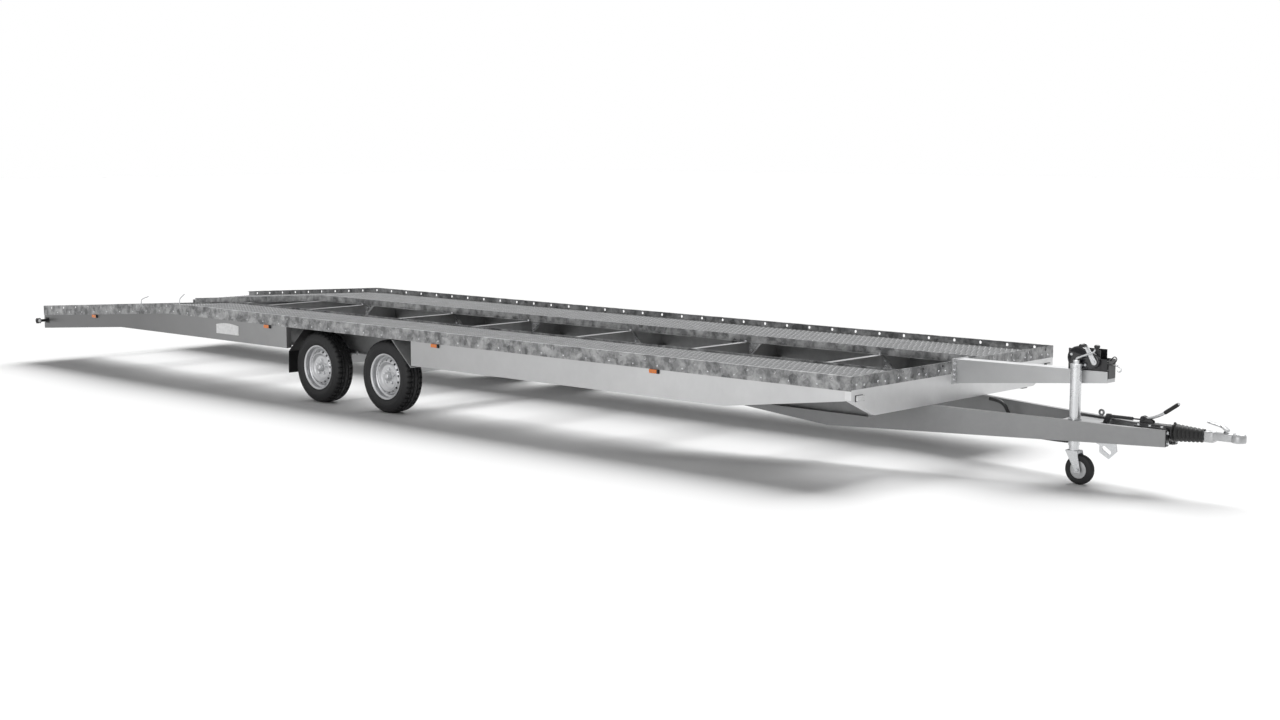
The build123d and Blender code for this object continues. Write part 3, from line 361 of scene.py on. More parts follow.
for node_name, node in nodes.items():
    node.data.materials.clear()
    finish = own_finish.get(node_name, slot_finish[slot_of[node_name]])
    node.data.materials.append(finish)
print("finishes on", len(nodes), "nodes")

# %% [markdown]
# ## Helpers for pieces
# A new piece is a mesh, an object, a finish and a body that it rides on. Small round parts are turned
# from a profile, as on a lathe, and stamped where they belong. A stamp is a ready mesh that is copied
# into the piece's mesh with a matrix, which is quicker than building each bolt again.


# %% Piece helpers
def new_piece(name, mesh, body, finish, crease=35):
    """Turn a bmesh into a piece: an object with one finish, which rides on a body."""
    data = bpy.data.meshes.new(name)
    mesh.to_mesh(data)
    mesh.free()
    data.materials.append(finish)
    data.shade_smooth()
    data.set_sharp_from_angle(angle=math.radians(crease))
    piece = bpy.data.objects.new(name, data)
    bpy.context.scene.collection.objects.link(piece)
    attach(piece, body)
    return piece


def stand(place, axis, turn=0.0):
    """A matrix that puts a shape's foot on place, with its own Z along axis."""
    aim = Vector(axis).to_track_quat("Z", "Y").to_matrix().to_4x4()
    return Matrix.Translation(place) @ aim @ Matrix.Rotation(turn, 4, "Z")


def stamp(mesh, shape, matrix):
    """Add a copy of a ready shape to a mesh, at this place."""
    placed = shape.copy()
    placed.transform(matrix)
    mesh.from_mesh(placed)
    bpy.data.meshes.remove(placed)


def stamped_piece(name, stamps, body, finish, crease=35):
    """A piece made of ready shapes. The stamps are pairs of a shape and its matrix."""
    mesh = bmesh.new()
    for shape, matrix in stamps:
        stamp(mesh, shape, matrix)
    return new_piece(name, mesh, body, finish, crease)


def repeat_rows(piece, step, count):
    """Repeat a piece's mesh along a step, with an Array modifier."""
    rows = piece.modifiers.new("rows", "ARRAY")
    rows.use_relative_offset = False
    rows.use_constant_offset = True
    rows.constant_offset_displace = step
    rows.count = count


print("piece helpers ready")

# %% [markdown]
# ## Turned shapes and blocks
# A lathe makes everything round: a few points of radius and height, spun about Z. A block is a cube
# between two corners, and its rounded edges catch the light as a folded or cast edge does. Much of
# the trailer is alike on both sides, so one helper mirrors a block that is given for the left side.


# %% Shape helpers
def turned(name, profile, sides, closed=False):
    """A shape turned on a lathe: the profile's (radius, height) points, spun about Z."""
    mesh = bmesh.new()
    points = [mesh.verts.new((radius, 0, height)) for radius, height in profile]
    pairs = list(zip(points, points[1:]))
    if closed:
        pairs.append((points[-1], points[0]))
    edges = [mesh.edges.new(pair) for pair in pairs]
    bmesh.ops.spin(mesh, geom=points + edges, cent=(0, 0, 0), axis=(0, 0, 1), angle=math.tau,
                   steps=sides, use_merge=True)
    bmesh.ops.remove_doubles(mesh, verts=mesh.verts, dist=0.00001)
    bmesh.ops.recalc_face_normals(mesh, faces=mesh.faces)
    shape = bpy.data.meshes.new(name)
    mesh.to_mesh(shape)
    mesh.free()
    return shape


def add_block(mesh, low, high, rounding=0.0, steps=1, lie=Matrix()):
    """A block between two corners, with its edges rounded, then laid by the matrix."""
    block = bmesh.new()
    bmesh.ops.create_cube(block, size=1)
    bmesh.ops.scale(block, vec=Vector(high) - Vector(low), verts=block.verts)
    bmesh.ops.translate(block, vec=(Vector(high) + Vector(low)) / 2, verts=block.verts)
    if rounding:
        bmesh.ops.bevel(block, geom=block.edges[:], offset=rounding, segments=steps, profile=0.5,
                        affect="EDGES", material=-1)
    data = bpy.data.meshes.new("block")
    block.to_mesh(data)
    block.free()
    stamp(mesh, data, lie)
    bpy.data.meshes.remove(data)


def add_side_block(mesh, hand, low, high, rounding=0.0, steps=1):
    """A block given for the left side, on the left for hand 1 or mirrored to the right for -1."""
    low_y, high_y = sorted((hand * low[1], hand * high[1]))
    add_block(mesh, (low[0], low_y, low[2]), (high[0], high_y, high[2]), rounding, steps)


print("shape helpers ready")

# %% [markdown]
# ## Bolts and rivets, as stamps
# A hexagon bolt is a six-sided drum with its upper corners bevelled, on a round washer. It is made at
# the size of one across its flats, so a stamp scales it. A rivet is a low turned dome.

# %% Make the stamps
hex_corner = 1 / math.sqrt(3)
head_height = 0.42
washer_height = 0.12
bolt_mesh = bmesh.new()
bmesh.ops.create_cone(bolt_mesh, cap_ends=True, segments=6, radius1=hex_corner, radius2=hex_corner,
                      depth=head_height,
                      matrix=Matrix.Translation((0, 0, washer_height + head_height / 2)))
top_edges = [edge for edge in bolt_mesh.edges
             if all(vert.co.z > washer_height + 0.9 * head_height for vert in edge.verts)]
bmesh.ops.bevel(bolt_mesh, geom=top_edges, offset=0.07, segments=1, profile=0.5, affect="EDGES",
                material=-1)
bmesh.ops.create_cone(bolt_mesh, cap_ends=True, segments=16, radius1=0.68, radius2=0.64,
                      depth=washer_height, matrix=Matrix.Translation((0, 0, washer_height / 2)))
bolt_shape = bpy.data.meshes.new("bolt_shape")
bolt_mesh.to_mesh(bolt_shape)
bolt_mesh.free()
rivet_shape = turned("rivet_shape", ((0.5, 0), (0.47, 0.12), (0.33, 0.24), (0, 0.3)), 10)


def add_bolt(mesh, place, axis, across=0.019, turn=0.0):
    """A bolt head of this size across its flats, standing on place."""
    stamp(mesh, bolt_shape, stand(place, axis, turn) @ Matrix.Scale(across, 4))


def add_rivet(mesh, place, axis, width=0.014):
    """A domed rivet of this width."""
    stamp(mesh, rivet_shape, stand(place, axis) @ Matrix.Scale(width, 4))


print(len(bolt_shape.polygons), "faces in a bolt,", len(rivet_shape.polygons), "in a rivet")

# %% [markdown]
# ## The deck's sizes
# The deck runs level from its front edge to a bend, and slopes down from there to the tail. The
# pieces on it need its height at any place, so the drop is one small function of the place.

# %% Measure the deck
front_x = 3.88
bend_x = -3.67
rear_x = -5.87
deck_z = 0.650
slope = math.radians(4.07)


def ramp_drop(x):
    """How far the deck has dropped at this place along the trailer."""
    return max(0, bend_x - x) * math.tan(slope)


print("deck", round(front_x - rear_x, 2), "m long, and", round(ramp_drop(rear_x), 3), "m lower at its tail")

# %% [markdown]
# ## The deck's dimples
# The planks are pressed with rows of round dimples, each a raised ring about a hole, so that wheels and
# shoes grip. There are thousands, so one short strip across the three planks is modelled, and an
# Array modifier repeats it along the track. Every second dimple is half a step behind, as on the real
# press tool. The hole is a small dark disc inside the ring, which is painted shade: the shade seen down the
# hole.

# %% Press the planks
track_inner = 0.492
plank_pitch = 0.22867
planks_per_track = 3
columns_per_plank = 5
column_pitch = 0.0425
row_pitch = 0.045
front_margin = 0.035
bend_margin = 0.025
ramp_length = 2.16
ring_shape = turned("ring_shape", ((0.0120, 0), (0.0078, 0.0030), (0.0062, 0.0006)), 8)
hole_shade_disc = turned("hole_shade_disc", ((0.0066, 0.0010), (0, 0.0010)), 8)
across_deck = Vector((0, 1, 0))
level_length = front_x - bend_x - front_margin - bend_margin
level_run = (Vector((front_x - front_margin, 0, deck_z)), Vector((-1, 0, 0)), level_length)
ramp_x = bend_x - bend_margin
ramp_way = Vector((-math.cos(slope), 0, -math.sin(slope)))
ramp_run = (Vector((ramp_x, 0, deck_z - ramp_drop(ramp_x))), ramp_way, ramp_length)


def dimple_places(start, way, hand):
    """The dimples' places in one row across a track's planks."""
    for plank in range(planks_per_track):
        for column in range(columns_per_plank):
            y = track_inner + (plank + 0.5) * plank_pitch + (column - columns_per_plank // 2) * column_pitch
            behind = row_pitch / 2 if column % 2 else 0
            yield start + way * behind + across_deck * hand * y


# The dark discs in the rings are painted shade, for the shade seen down each hole.
for side, hand in (("left", 1), ("right", -1)):
    for run_name, (start, way, length) in (("level", level_run), ("ramp", ramp_run)):
        upright = across_deck.cross(way)
        for piece_name, shape, finish, slot in (("dimples", ring_shape, dimple_zinc, "deck_steel"),
                                                ("holes", hole_shade_disc, black_steel, "black_steel")):
            row = [(shape, stand(place, upright)) for place in dimple_places(start, way, hand)]
            strip = stamped_piece(f"{piece_name}_{run_name}_{side}", row, "chassis", finish, 80)
            repeat_rows(strip, way * row_pitch, int(length / row_pitch))
print("rows on the level run", int(level_length / row_pitch), "and the ramp", int(ramp_length / row_pitch))

# %% [markdown]
# ## Rivets in the rails
# The side rails are fastened to the planks between the lashing holes, and the front rails below them.
# A row of domed heads follows the rail, and drops with it on the ramp. At the front corners a thin
# plate wraps the side rail's end.

# %% Rivet the rails
lashing_pitch = 0.225
first_hole = front_x - 0.150
hole_count = 43
rail_face = 1.2
rivet_z = 0.628
front_hole_y = 0.1955
front_hole_count = 5
front_rivets = ((0.03, 0.634), (-0.05, 0.642))
corner_wall = 0.0018
corner_length = 0.095
corner_gap = 0.001
corner_low = 0.612
corner_high = 0.694
sheet_edge = 0.0008
rivets = bmesh.new()
for n in range(hole_count - 1):
    x = first_hole - (n + 0.5) * lashing_pitch
    for hand in (1, -1):
        add_rivet(rivets, (x, hand * rail_face, rivet_z - ramp_drop(x)), (0, hand, 0))
for n in range(front_hole_count):
    for hand in (1, -1):
        y = hand * (front_hole_y + lashing_pitch * n)
        for shift, z in front_rivets:
            add_rivet(rivets, (front_x, y + shift, z), (1, 0, 0))
new_piece("rail_rivets", rivets, "chassis", bright_zinc)

wraps = bmesh.new()
for hand in (1, -1):
    add_side_block(wraps, hand, (front_x - corner_length, rail_face, corner_low),
                   (front_x - corner_gap, rail_face + corner_wall, corner_high), sheet_edge)
new_piece("rail_corner_plates", wraps, "chassis", dipped_zinc)
print("rail rivets", 2 * (hole_count - 1) + 4 * front_hole_count)

# %% [markdown]
# ## Tyres
# A road tyre is a closed ring: two beads, two bulging walls with moulded rings, and a tread with
# grooves round it and slots across it. The profile is drawn once as radius and height, turned in 120
# steps, and then every third face of the tread's ribs is inset and pushed in, which cuts the slots.

# %% Turn a tyre
half_profile = (
    (0.1690, 0.0705), (0.1860, 0.0712), (0.1890, 0.0750), (0.1930, 0.0755), (0.1965, 0.0775),
    (0.2140, 0.0838), (0.2200, 0.0850), (0.2212, 0.0866), (0.2340, 0.0872), (0.2355, 0.0858),
    (0.2480, 0.0842), (0.2600, 0.0805), (0.2660, 0.0775), (0.2672, 0.0782), (0.2740, 0.0738),
    (0.2800, 0.0690), (0.2842, 0.0640), (0.2872, 0.0515), (0.2878, 0.0475), (0.2812, 0.0460),
    (0.2812, 0.0405), (0.2888, 0.0390), (0.2902, 0.0220), (0.2830, 0.0200), (0.2830, 0.0145),
    (0.2907, 0.0130),
)
tread_steps = 120
crown_radius = 0.2855
shoulder_radius = 0.2765
shoulder_height = 0.064
middle_rib = 0.0125
slot_border = 0.0011
slot_depth = 0.0055


def mirrored_profile(half):
    """A closed profile from its upper half."""
    return half + tuple((radius, -height) for radius, height in reversed(half))


def polar(point):
    """A point's turn about Z and its distance from Z."""
    return math.atan2(point.y, point.x), math.hypot(point.x, point.y)


tyre_shape = turned("tyre_shape", mirrored_profile(half_profile), tread_steps, closed=True)
tread = bmesh.new()
tread.from_mesh(tyre_shape)
slots = []
for face in tread.faces:
    middle = face.calc_center_median()
    turn, radius = polar(middle)
    step = math.floor(turn / math.tau * tread_steps)
    shift = 2 if middle.z > 0 else 0
    on_shoulder = radius > shoulder_radius and abs(middle.z) > shoulder_height
    on_rib = radius > crown_radius or on_shoulder
    if on_rib and abs(middle.z) > middle_rib and (step + shift) % 3 == 0:
        slots.append(face)
bmesh.ops.inset_individual(tread, faces=slots, thickness=slot_border, depth=-slot_depth,
                           use_even_offset=True)
tread.to_mesh(tyre_shape)
tread.free()
print(len(slots), "slots,", len(tyre_shape.polygons), "faces in a tyre")

# %% [markdown]
# ## Tyres on their wheels
# The same tyre serves all four wheels, turned to its own side. It stands in for the plain ring in the
# frame, which stays in the physics, so it has the same place and rides on the same turning body.

# %% Fit the tyres
axle_x = {"front": front_x - 4.557, "rear": front_x - 5.427}
wheel_z = 0.291
wheel_y = 1.0815
wheel_places = [(place, side, hand, Vector((x, hand * wheel_y, wheel_z)))
                for place, x in axle_x.items() for side, hand in (("left", 1), ("right", -1))]
for place, side, hand, centre in wheel_places:
    tyre = stamped_piece(f"road_tyre_{place}_{side}", [(tyre_shape, stand(centre, (0, hand, 0)))],
                         f"road_wheel_{place}_{side}", tyre_rubber, 28)
    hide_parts(f"tyre_{place}_{side}")
print(len(wheel_places), "tyres")

# %% [markdown]
# ## Pressed steel wheels
# A steel wheel is two pressings welded together: a rolled rim, and a disc with a raised ridge, a bowl
# for the bolts and a ring of sixteen holes that cool the brake. Rim, disc and hub are turned. The rim
# and the hub are closed profiles, and the disc is one sheet, which gets its wall later.

# %% Turn the rim, the disc and the hub
holes_per_wheel = 16
steps_per_hole = 8
disc_steps = holes_per_wheel * steps_per_hole
rim_shape = turned("rim_shape", (
    (0.1825, 0.0735), (0.1820, 0.0750), (0.1800, 0.0755), (0.1775, 0.0750), (0.1700, 0.0733),
    (0.1658, 0.0690), (0.1642, 0.0600), (0.1640, 0.0320), (0.1505, 0.0260), (0.1482, 0.0220),
    (0.1480, -0.0280), (0.1640, -0.0360), (0.1640, -0.0690), (0.1700, -0.0733), (0.1775, -0.0750),
    (0.1800, -0.0755), (0.1825, -0.0735), (0.1825, -0.0715), (0.1690, -0.0715), (0.1680, -0.0700),
    (0.1680, -0.0380), (0.1520, -0.0290), (0.1520, 0.0280), (0.1680, 0.0360), (0.1680, 0.0700),
    (0.1690, 0.0715), (0.1825, 0.0715)), 96, closed=True)
disc_profile = (
    (0.1479, 0.0140), (0.1478, 0.0240), (0.1460, 0.0318), (0.1405, 0.0400), (0.1310, 0.0462),
    (0.1215, 0.0498), (0.1190, 0.0508), (0.1165, 0.0512), (0.1140, 0.0505), (0.1110, 0.0480),
    (0.1040, 0.0400), (0.0980, 0.0335), (0.0935, 0.0308), (0.0880, 0.0300), (0.0700, 0.0300),
    (0.0420, 0.0300), (0.0360, 0.0312), (0.0330, 0.0345), (0.0325, 0.0400))
pressed_disc = turned("pressed_disc", disc_profile, disc_steps)
hub_shape = turned("hub_shape", (
    (0.0222, -0.0800), (0.1280, -0.0800), (0.1280, -0.0100), (0.0840, 0.0100), (0.0840, 0.0240),
    (0.0330, 0.0240), (0.0325, 0.0505), (0.0275, 0.0520), (0.0268, 0.0620), (0.0222, 0.0625)), 48, True)
print("disc turned in", disc_steps, "steps")

# %% [markdown]
# ## Sixteen holes
# A boolean cut would leave a ragged ring of faces. Instead the faces are taken out where the holes go,
# the corners left round each gap are moved onto a circle, and each is put back on the height of the
# sheet at its new radius. Solidify then gives the sheet its wall, in the holes too.

# %% Punch the disc
hole_ring = 0.131
hole_radius = 0.0098
hole_band = (0.1215, 0.1405)
band_slack = 0.0015
gap_steps = 4
disc_wall = 0.0035


def disc_height(radius):
    """The height of the disc's sheet at this radius."""
    for (outer, high), (inner, low) in zip(disc_profile, disc_profile[1:]):
        if inner <= radius <= outer and outer > inner:
            return low + (high - low) * (radius - inner) / (outer - inner)
    return disc_profile[-1][1]


disc = bmesh.new()
disc.from_mesh(pressed_disc)
gone = []
for face in disc.faces:
    turn, radius = polar(face.calc_center_median())
    step = math.floor(turn / math.tau * disc_steps) % steps_per_hole
    if hole_band[0] < radius < hole_band[1] and step < gap_steps:
        gone.append(face)
bmesh.ops.delete(disc, geom=gone, context="FACES")
pitch = math.tau / holes_per_wheel
for vert in disc.verts:
    turn, radius = polar(vert.co)
    if vert.is_boundary and hole_band[0] - band_slack < radius < hole_band[1] + band_slack:
        hole_turn = (math.floor(turn / pitch) + gap_steps / 2 / steps_per_hole) * pitch
        if turn - hole_turn > pitch / 2:
            hole_turn += pitch
        along = (turn - hole_turn) * radius
        out = radius - hole_ring
        reach = math.hypot(along, out)
        new_radius = hole_ring + out / reach * hole_radius
        new_turn = hole_turn + along / reach * hole_radius / new_radius
        vert.co = (new_radius * math.cos(new_turn), new_radius * math.sin(new_turn),
                   disc_height(new_radius))
bmesh.ops.solidify(disc, geom=disc.faces[:], thickness=disc_wall)
bmesh.ops.recalc_face_normals(disc, faces=disc.faces)
disc.to_mesh(pressed_disc)
disc.free()
print(len(gone), "faces taken out for", holes_per_wheel, "holes,", len(pressed_disc.polygons), "in a disc")

# %% [markdown]
# ## Wheel furniture
# On each wheel there are five bolts on their raised seats, a dust cap over the hub nut, a rubber
# valve, and behind the sixteen holes the dark painted drum. All of it turns with the wheel.

# %% Bolt the wheels on
bolt_ring = 0.056
bolts_per_wheel = 5
first_bolt_turn = 0.3
disc_face = 0.030
seat_sink = 0.002
bolt_across = 0.019
seat_shape = turned("seat_shape", ((0.0175, 0), (0.0150, 0.0028), (0.0105, 0.0032), (0, 0.0032)), 16)
cap_shape = turned("cap_shape", ((0.0268, 0.050), (0.0272, 0.0600), (0.0262, 0.0655), (0.0215, 0.0690),
                                 (0.0120, 0.0705), (0, 0.0710)), 28)
drum_shape = turned("drum_shape", ((0.1290, -0.0790), (0.1290, -0.0095), (0.0848, 0.0108),
                                   (0.0838, 0.0095), (0.1272, -0.0108), (0.1272, -0.0790)), 48, True)
valve_shape = turned("valve_shape", ((0.0058, 0), (0.0055, 0.009), (0.0036, 0.012), (0.0036, 0.024),
                                     (0.0030, 0.0265), (0, 0.0268)), 10)
valve_place = Matrix.Rotation(0.30, 4, "Z") @ Matrix.Translation((0.1425, 0, 0.0330))
bolt_stamps = []
for n in range(bolts_per_wheel):
    angle = math.tau * n / bolts_per_wheel + first_bolt_turn
    spot = Vector((bolt_ring * math.cos(angle), bolt_ring * math.sin(angle), disc_face))
    lifted = Matrix.Translation(spot + Vector((0, 0, seat_sink)))
    bolt_stamps.append((seat_shape, Matrix.Translation(spot)))
    bolt_stamps.append((bolt_shape, lifted @ Matrix.Rotation(angle, 4, "Z") @ Matrix.Scale(bolt_across, 4)))
for place, side, hand, centre in wheel_places:
    wheel_name = f"{place}_{side}"
    body = f"road_wheel_{wheel_name}"
    wheel_frame = stand(centre, (0, hand, 0))
    pressings = [(shape, wheel_frame) for shape in (rim_shape, pressed_disc, hub_shape, cap_shape)]
    steel_wheel = stamped_piece(f"steel_wheel_{wheel_name}", pressings, body, wheel_silver)
    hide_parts(f"wheel_{wheel_name}")
    placed_bolts = [(shape, wheel_frame @ matrix) for shape, matrix in bolt_stamps]
    stamped_piece(f"wheel_bolts_{wheel_name}", placed_bolts, body, bright_zinc)
    stamped_piece(f"drum_band_{wheel_name}", [(drum_shape, wheel_frame)], body, black_steel)
    stamped_piece(f"valve_{wheel_name}", [(valve_shape, wheel_frame @ valve_place)], body, black_rubber)
print("bolts, caps, drums and valves on", len(wheel_places), "wheels")

# %% [markdown]
# ## Bolts in the frame
# The frame is bolted together where two pieces meet: the gussets to the cross members, the winch beam's
# flange to the front beam, the axles under the main beams. Each group is one piece with the same bolt
# stamped at its real size, M10 for the gussets and the flange and M12 for the axles.

# %% Bolt the frame
gusset_face = 0.4897
gusset_top_y = 0.476
beam_top = 0.610
beam_wall = 0.0033
cross_width = 0.050
small_bolt = 0.017
large_bolt = 0.019
cross_xs = [front_x - place for place in (1.007, 2.253, 3.464, 4.659, 5.646, 6.918)]
low_gusset = ((0.018, 0.530), (0.018, 0.575), (0.060, 0.512))
high_gusset = ((0.018, 0.590), (0.018, 0.545), (0.060, 0.594))
frame_bolts = bmesh.new()
for n, x in enumerate(cross_xs):
    spots = high_gusset if n % 2 else low_gusset
    for hand in (1, -1):
        for root, way in ((x, -1), (x + cross_width, 1)):
            for along, z in spots:
                add_bolt(frame_bolts, (root + way * along, hand * gusset_face, z), (0, -hand, 0), small_bolt)
        add_bolt(frame_bolts, (x + cross_width / 2, hand * gusset_top_y, beam_top + beam_wall), (0, 0, 1),
                 large_bolt)
new_piece("gusset_bolts", frame_bolts, "chassis", bright_zinc)

flange_wall = 0.008
flange_bolt_y = 0.073
flange_bolts = bmesh.new()
for hand in (1, -1):
    for z in (0.574, 0.606, 0.638, 0.676):
        add_bolt(flange_bolts, (front_x + flange_wall, hand * flange_bolt_y, z), (1, 0, 0), small_bolt)
new_piece("winch_flange_bolts", flange_bolts, "chassis", bright_zinc)

bracket_ahead = 0.150
bracket_reach = 0.070
bracket_y = 0.915
bracket_low = 0.405
bracket_high = 0.414
axle_bolts = bmesh.new()
for x in axle_x.values():
    for hand in (1, -1):
        for shift in (-bracket_reach, bracket_reach):
            bolt_x = x + bracket_ahead + shift
            add_bolt(axle_bolts, (bolt_x, hand * bracket_y, bracket_low), (0, 0, -1), large_bolt)
            add_bolt(axle_bolts, (bolt_x, hand * bracket_y, bracket_high), (0, 0, 1), large_bolt)
new_piece("axle_bolts", axle_bolts, "chassis", bright_zinc)
print("gusset bolts", len(cross_xs) * 2 * 7)

# %% [markdown]
# ## Marker lamps
# A marker lamp is a coloured lens on a black base, with a black end that clips it down. The lenses are
# in the frame already, so what is added is the thin base round each and the clip over its end.

# %% Fit the marker bases
side_face = 1.196
side_lamps = (1.640, 3.900, 6.050, 8.800)
lamp_z = 0.5897
lamp_edge = 0.0015
base_half = 0.046
base_wall = 0.004
clip_start = 0.030
clip_stop = 0.0415
clip_reach = 0.0152
marker_y = 1.120
marker_z = 0.555
marker_half = 0.038
marker_wall = 0.005
marker_reach = 0.0175
bases = bmesh.new()
for behind in side_lamps:
    x = front_x - behind
    z = lamp_z - ramp_drop(x - 0.040)
    for hand in (1, -1):
        add_side_block(bases, hand, (x - base_half, side_face, z - 0.0155),
                       (x + base_half, side_face + base_wall, z + 0.0125), lamp_edge, 2)
        add_side_block(bases, hand, (x + clip_start, side_face, z - 0.0140),
                       (x + clip_stop, side_face + clip_reach, z + 0.0130), lamp_edge, 2)
for hand in (1, -1):
    add_side_block(bases, hand, (front_x, marker_y - marker_half, marker_z - 0.021),
                   (front_x + marker_wall, marker_y + marker_half, marker_z + 0.021), lamp_edge, 2)
    add_side_block(bases, hand, (front_x, marker_y - 0.036, marker_z - 0.018),
                   (front_x + marker_reach, marker_y - 0.029, marker_z + 0.018), lamp_edge, 2)
new_piece("marker_bases", bases, "chassis", black_plastic)
print("bases under", 2 * len(side_lamps) + 2, "lamps")

# %% [markdown]
# ## Tail lamps and stalk lamps
# The tail lamps have a black bezel and two bars between their fields. The rubber stalks at the rear
# corners carry a white lens to the front and a red one to the rear, each a turned dome.

# %% Fit the rear lamps
rear_face = rear_x + 0.030
tail_z = 0.3870
tail_y = 1.006
bezel_half_width = 0.127
bezel_half_height = 0.055
bezel_depth = 0.010
field_bar = 0.002
bar_half_height = 0.044
bezels = bmesh.new()
for hand in (1, -1):
    lamp_y = hand * tail_y
    add_block(bezels, (rear_face - bezel_depth, lamp_y - bezel_half_width, tail_z - bezel_half_height),
              (rear_face, lamp_y + bezel_half_width, tail_z + bezel_half_height), 0.003, 2)
    for shift in (-0.040, 0.040):
        bar_y = lamp_y + shift
        add_block(bezels, (rear_face - 0.0300, bar_y - field_bar, tail_z - bar_half_height),
                  (rear_face - 0.020, bar_y + field_bar, tail_z + bar_half_height), sheet_edge)
new_piece("tail_lamp_bezels", bezels, "chassis", black_plastic)

stalk_x = rear_x + 0.060
stalk_y = 1.293
stalk_z = 0.4014
stalk_reach = 0.0215
lens_shape = turned("lens_shape", ((0.0150, 0), (0.0148, 0.004), (0.0115, 0.0085), (0.006, 0.0105),
                                   (0, 0.011)), 20)
for way, lens_colour, finish in ((1, "white", white_lens), (-1, "red", red_lens)):
    lenses = [(lens_shape, stand((stalk_x + way * stalk_reach, hand * stalk_y, stalk_z), (way, 0, 0)))
              for hand in (1, -1)]
    stamped_piece(f"stalk_lenses_{lens_colour}", lenses, "chassis", finish)
print("rear lamps fitted")

# %% [markdown]
# ## Bent bars and wrapped plates
# Hooks, levers and the conduit are bars bent cold: a curve with a round section, made a mesh. Flat
# levers and covers have an outline that wraps round two or three circles, as a belt does. The convex
# hull of some thin drums gives exactly that outline, and a bevel rounds its outer edge.


# %% Bar and plate helpers
def bent_bar(name, points, radius, body, finish):
    """A round bar along smooth points, as a mesh piece."""
    curve = bpy.data.curves.new(name, "CURVE")
    curve.dimensions = "3D"
    spline = curve.splines.new("NURBS")
    spline.points.add(len(points) - 1)
    for bar_point, place in zip(spline.points, points):
        bar_point.co = (*place, 1)
    spline.order_u = 3
    spline.use_endpoint_u = True
    curve.bevel_depth = radius
    curve.bevel_resolution = 3
    curve.use_fill_caps = True
    rough = bpy.data.objects.new(name + "_line", curve)
    data = bpy.data.meshes.new_from_object(rough)
    bpy.data.objects.remove(rough)
    mesh = bmesh.new()
    mesh.from_mesh(data)
    bmesh.ops.remove_doubles(mesh, verts=mesh.verts, dist=0.00001)
    bmesh.ops.recalc_face_normals(mesh, faces=mesh.faces)
    return new_piece(name, mesh, body, finish)


def middle_line(steps, y=0.0):
    """Points in the trailer's long plane, from pairs of a place ahead and a height."""
    return [(front_x + ahead, y, z) for ahead, z in steps]


def add_hull(mesh, rounds, low_y, high_y, rounding, steps=28):
    """A plate whose outline wraps round circles in the XZ plane, with its outer edge rounded."""
    part = bmesh.new()
    for x, z, radius in rounds:
        lie = Matrix.Translation((x, (low_y + high_y) / 2, z)) @ Matrix.Rotation(math.pi / 2, 4, "X")
        bmesh.ops.create_cone(part, cap_ends=True, segments=steps, radius1=radius, radius2=radius,
                              depth=high_y - low_y, matrix=lie)
    hull = bmesh.ops.convex_hull(part, input=part.verts[:])
    spare = {item for key in ("geom_interior", "geom_unused") for item in hull[key]}
    spare_verts = [item for item in spare if isinstance(item, bmesh.types.BMVert)]
    bmesh.ops.delete(part, geom=spare_verts, context="VERTS")
    old_caps = [face for face in part.faces if len(face.verts) > 4]
    bmesh.ops.delete(part, geom=old_caps, context="FACES_ONLY")
    bmesh.ops.dissolve_limit(part, angle_limit=0.01, verts=part.verts[:], edges=part.edges[:])
    outer = [edge for edge in part.edges if all(abs(vert.co.y - low_y) < 0.0001 for vert in edge.verts)]
    bmesh.ops.bevel(part, geom=outer, offset=rounding, segments=4, profile=0.5, affect="EDGES",
                    material=-1)
    bmesh.ops.recalc_face_normals(part, faces=part.faces)
    data = bpy.data.meshes.new("hull")
    part.to_mesh(data)
    part.free()
    mesh.from_mesh(data)
    bpy.data.meshes.remove(data)


print("bar and plate helpers ready")

# %% [markdown]
# ## The winch's strap and cover
# The strap is wound on the drum in layers, which show as faint ridges, so it is turned. The glossy
# cover hides a small gear on the crank and a large one on the drum, so its outline wraps round both
# and has the shape of an egg. It replaces the frame's round cover.

# %% Wind the strap and close the cover
drum = Vector((front_x + 0.905, 0, 0.7880))
gear = Vector((drum.x + 0.100, 0, drum.z - 0.012))
cover_face = -0.068
cover_foot = -0.044
strap_shape = turned("strap_shape", ((0.0455, -0.0225), (0.0474, -0.0222), (0.0478, -0.011), (0.0474, 0),
                                     (0.0478, 0.011), (0.0474, 0.0222), (0.0455, 0.0225)), 48, True)
stamped_piece("wound_strap", [(strap_shape, stand(drum, (0, 1, 0)))], "chassis", black_rubber)
cover = bmesh.new()
add_hull(cover, ((drum.x, drum.z, 0.074), (gear.x, gear.z, 0.050)), cover_face, cover_foot, 0.012)
winch_cover = new_piece("egg_cover", cover, "chassis", black_gloss, 50)
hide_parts("winch_cover")
print("egg cover", len(winch_cover.data.polygons), "faces")

# %% [markdown]
# ## The winch's crank
# The crank is a flat steel arm on a pin, with a black knob that the hand turns. The arm is a plate
# wrapped round its two ends. It stands still here, because the winch has no joint in the frame.

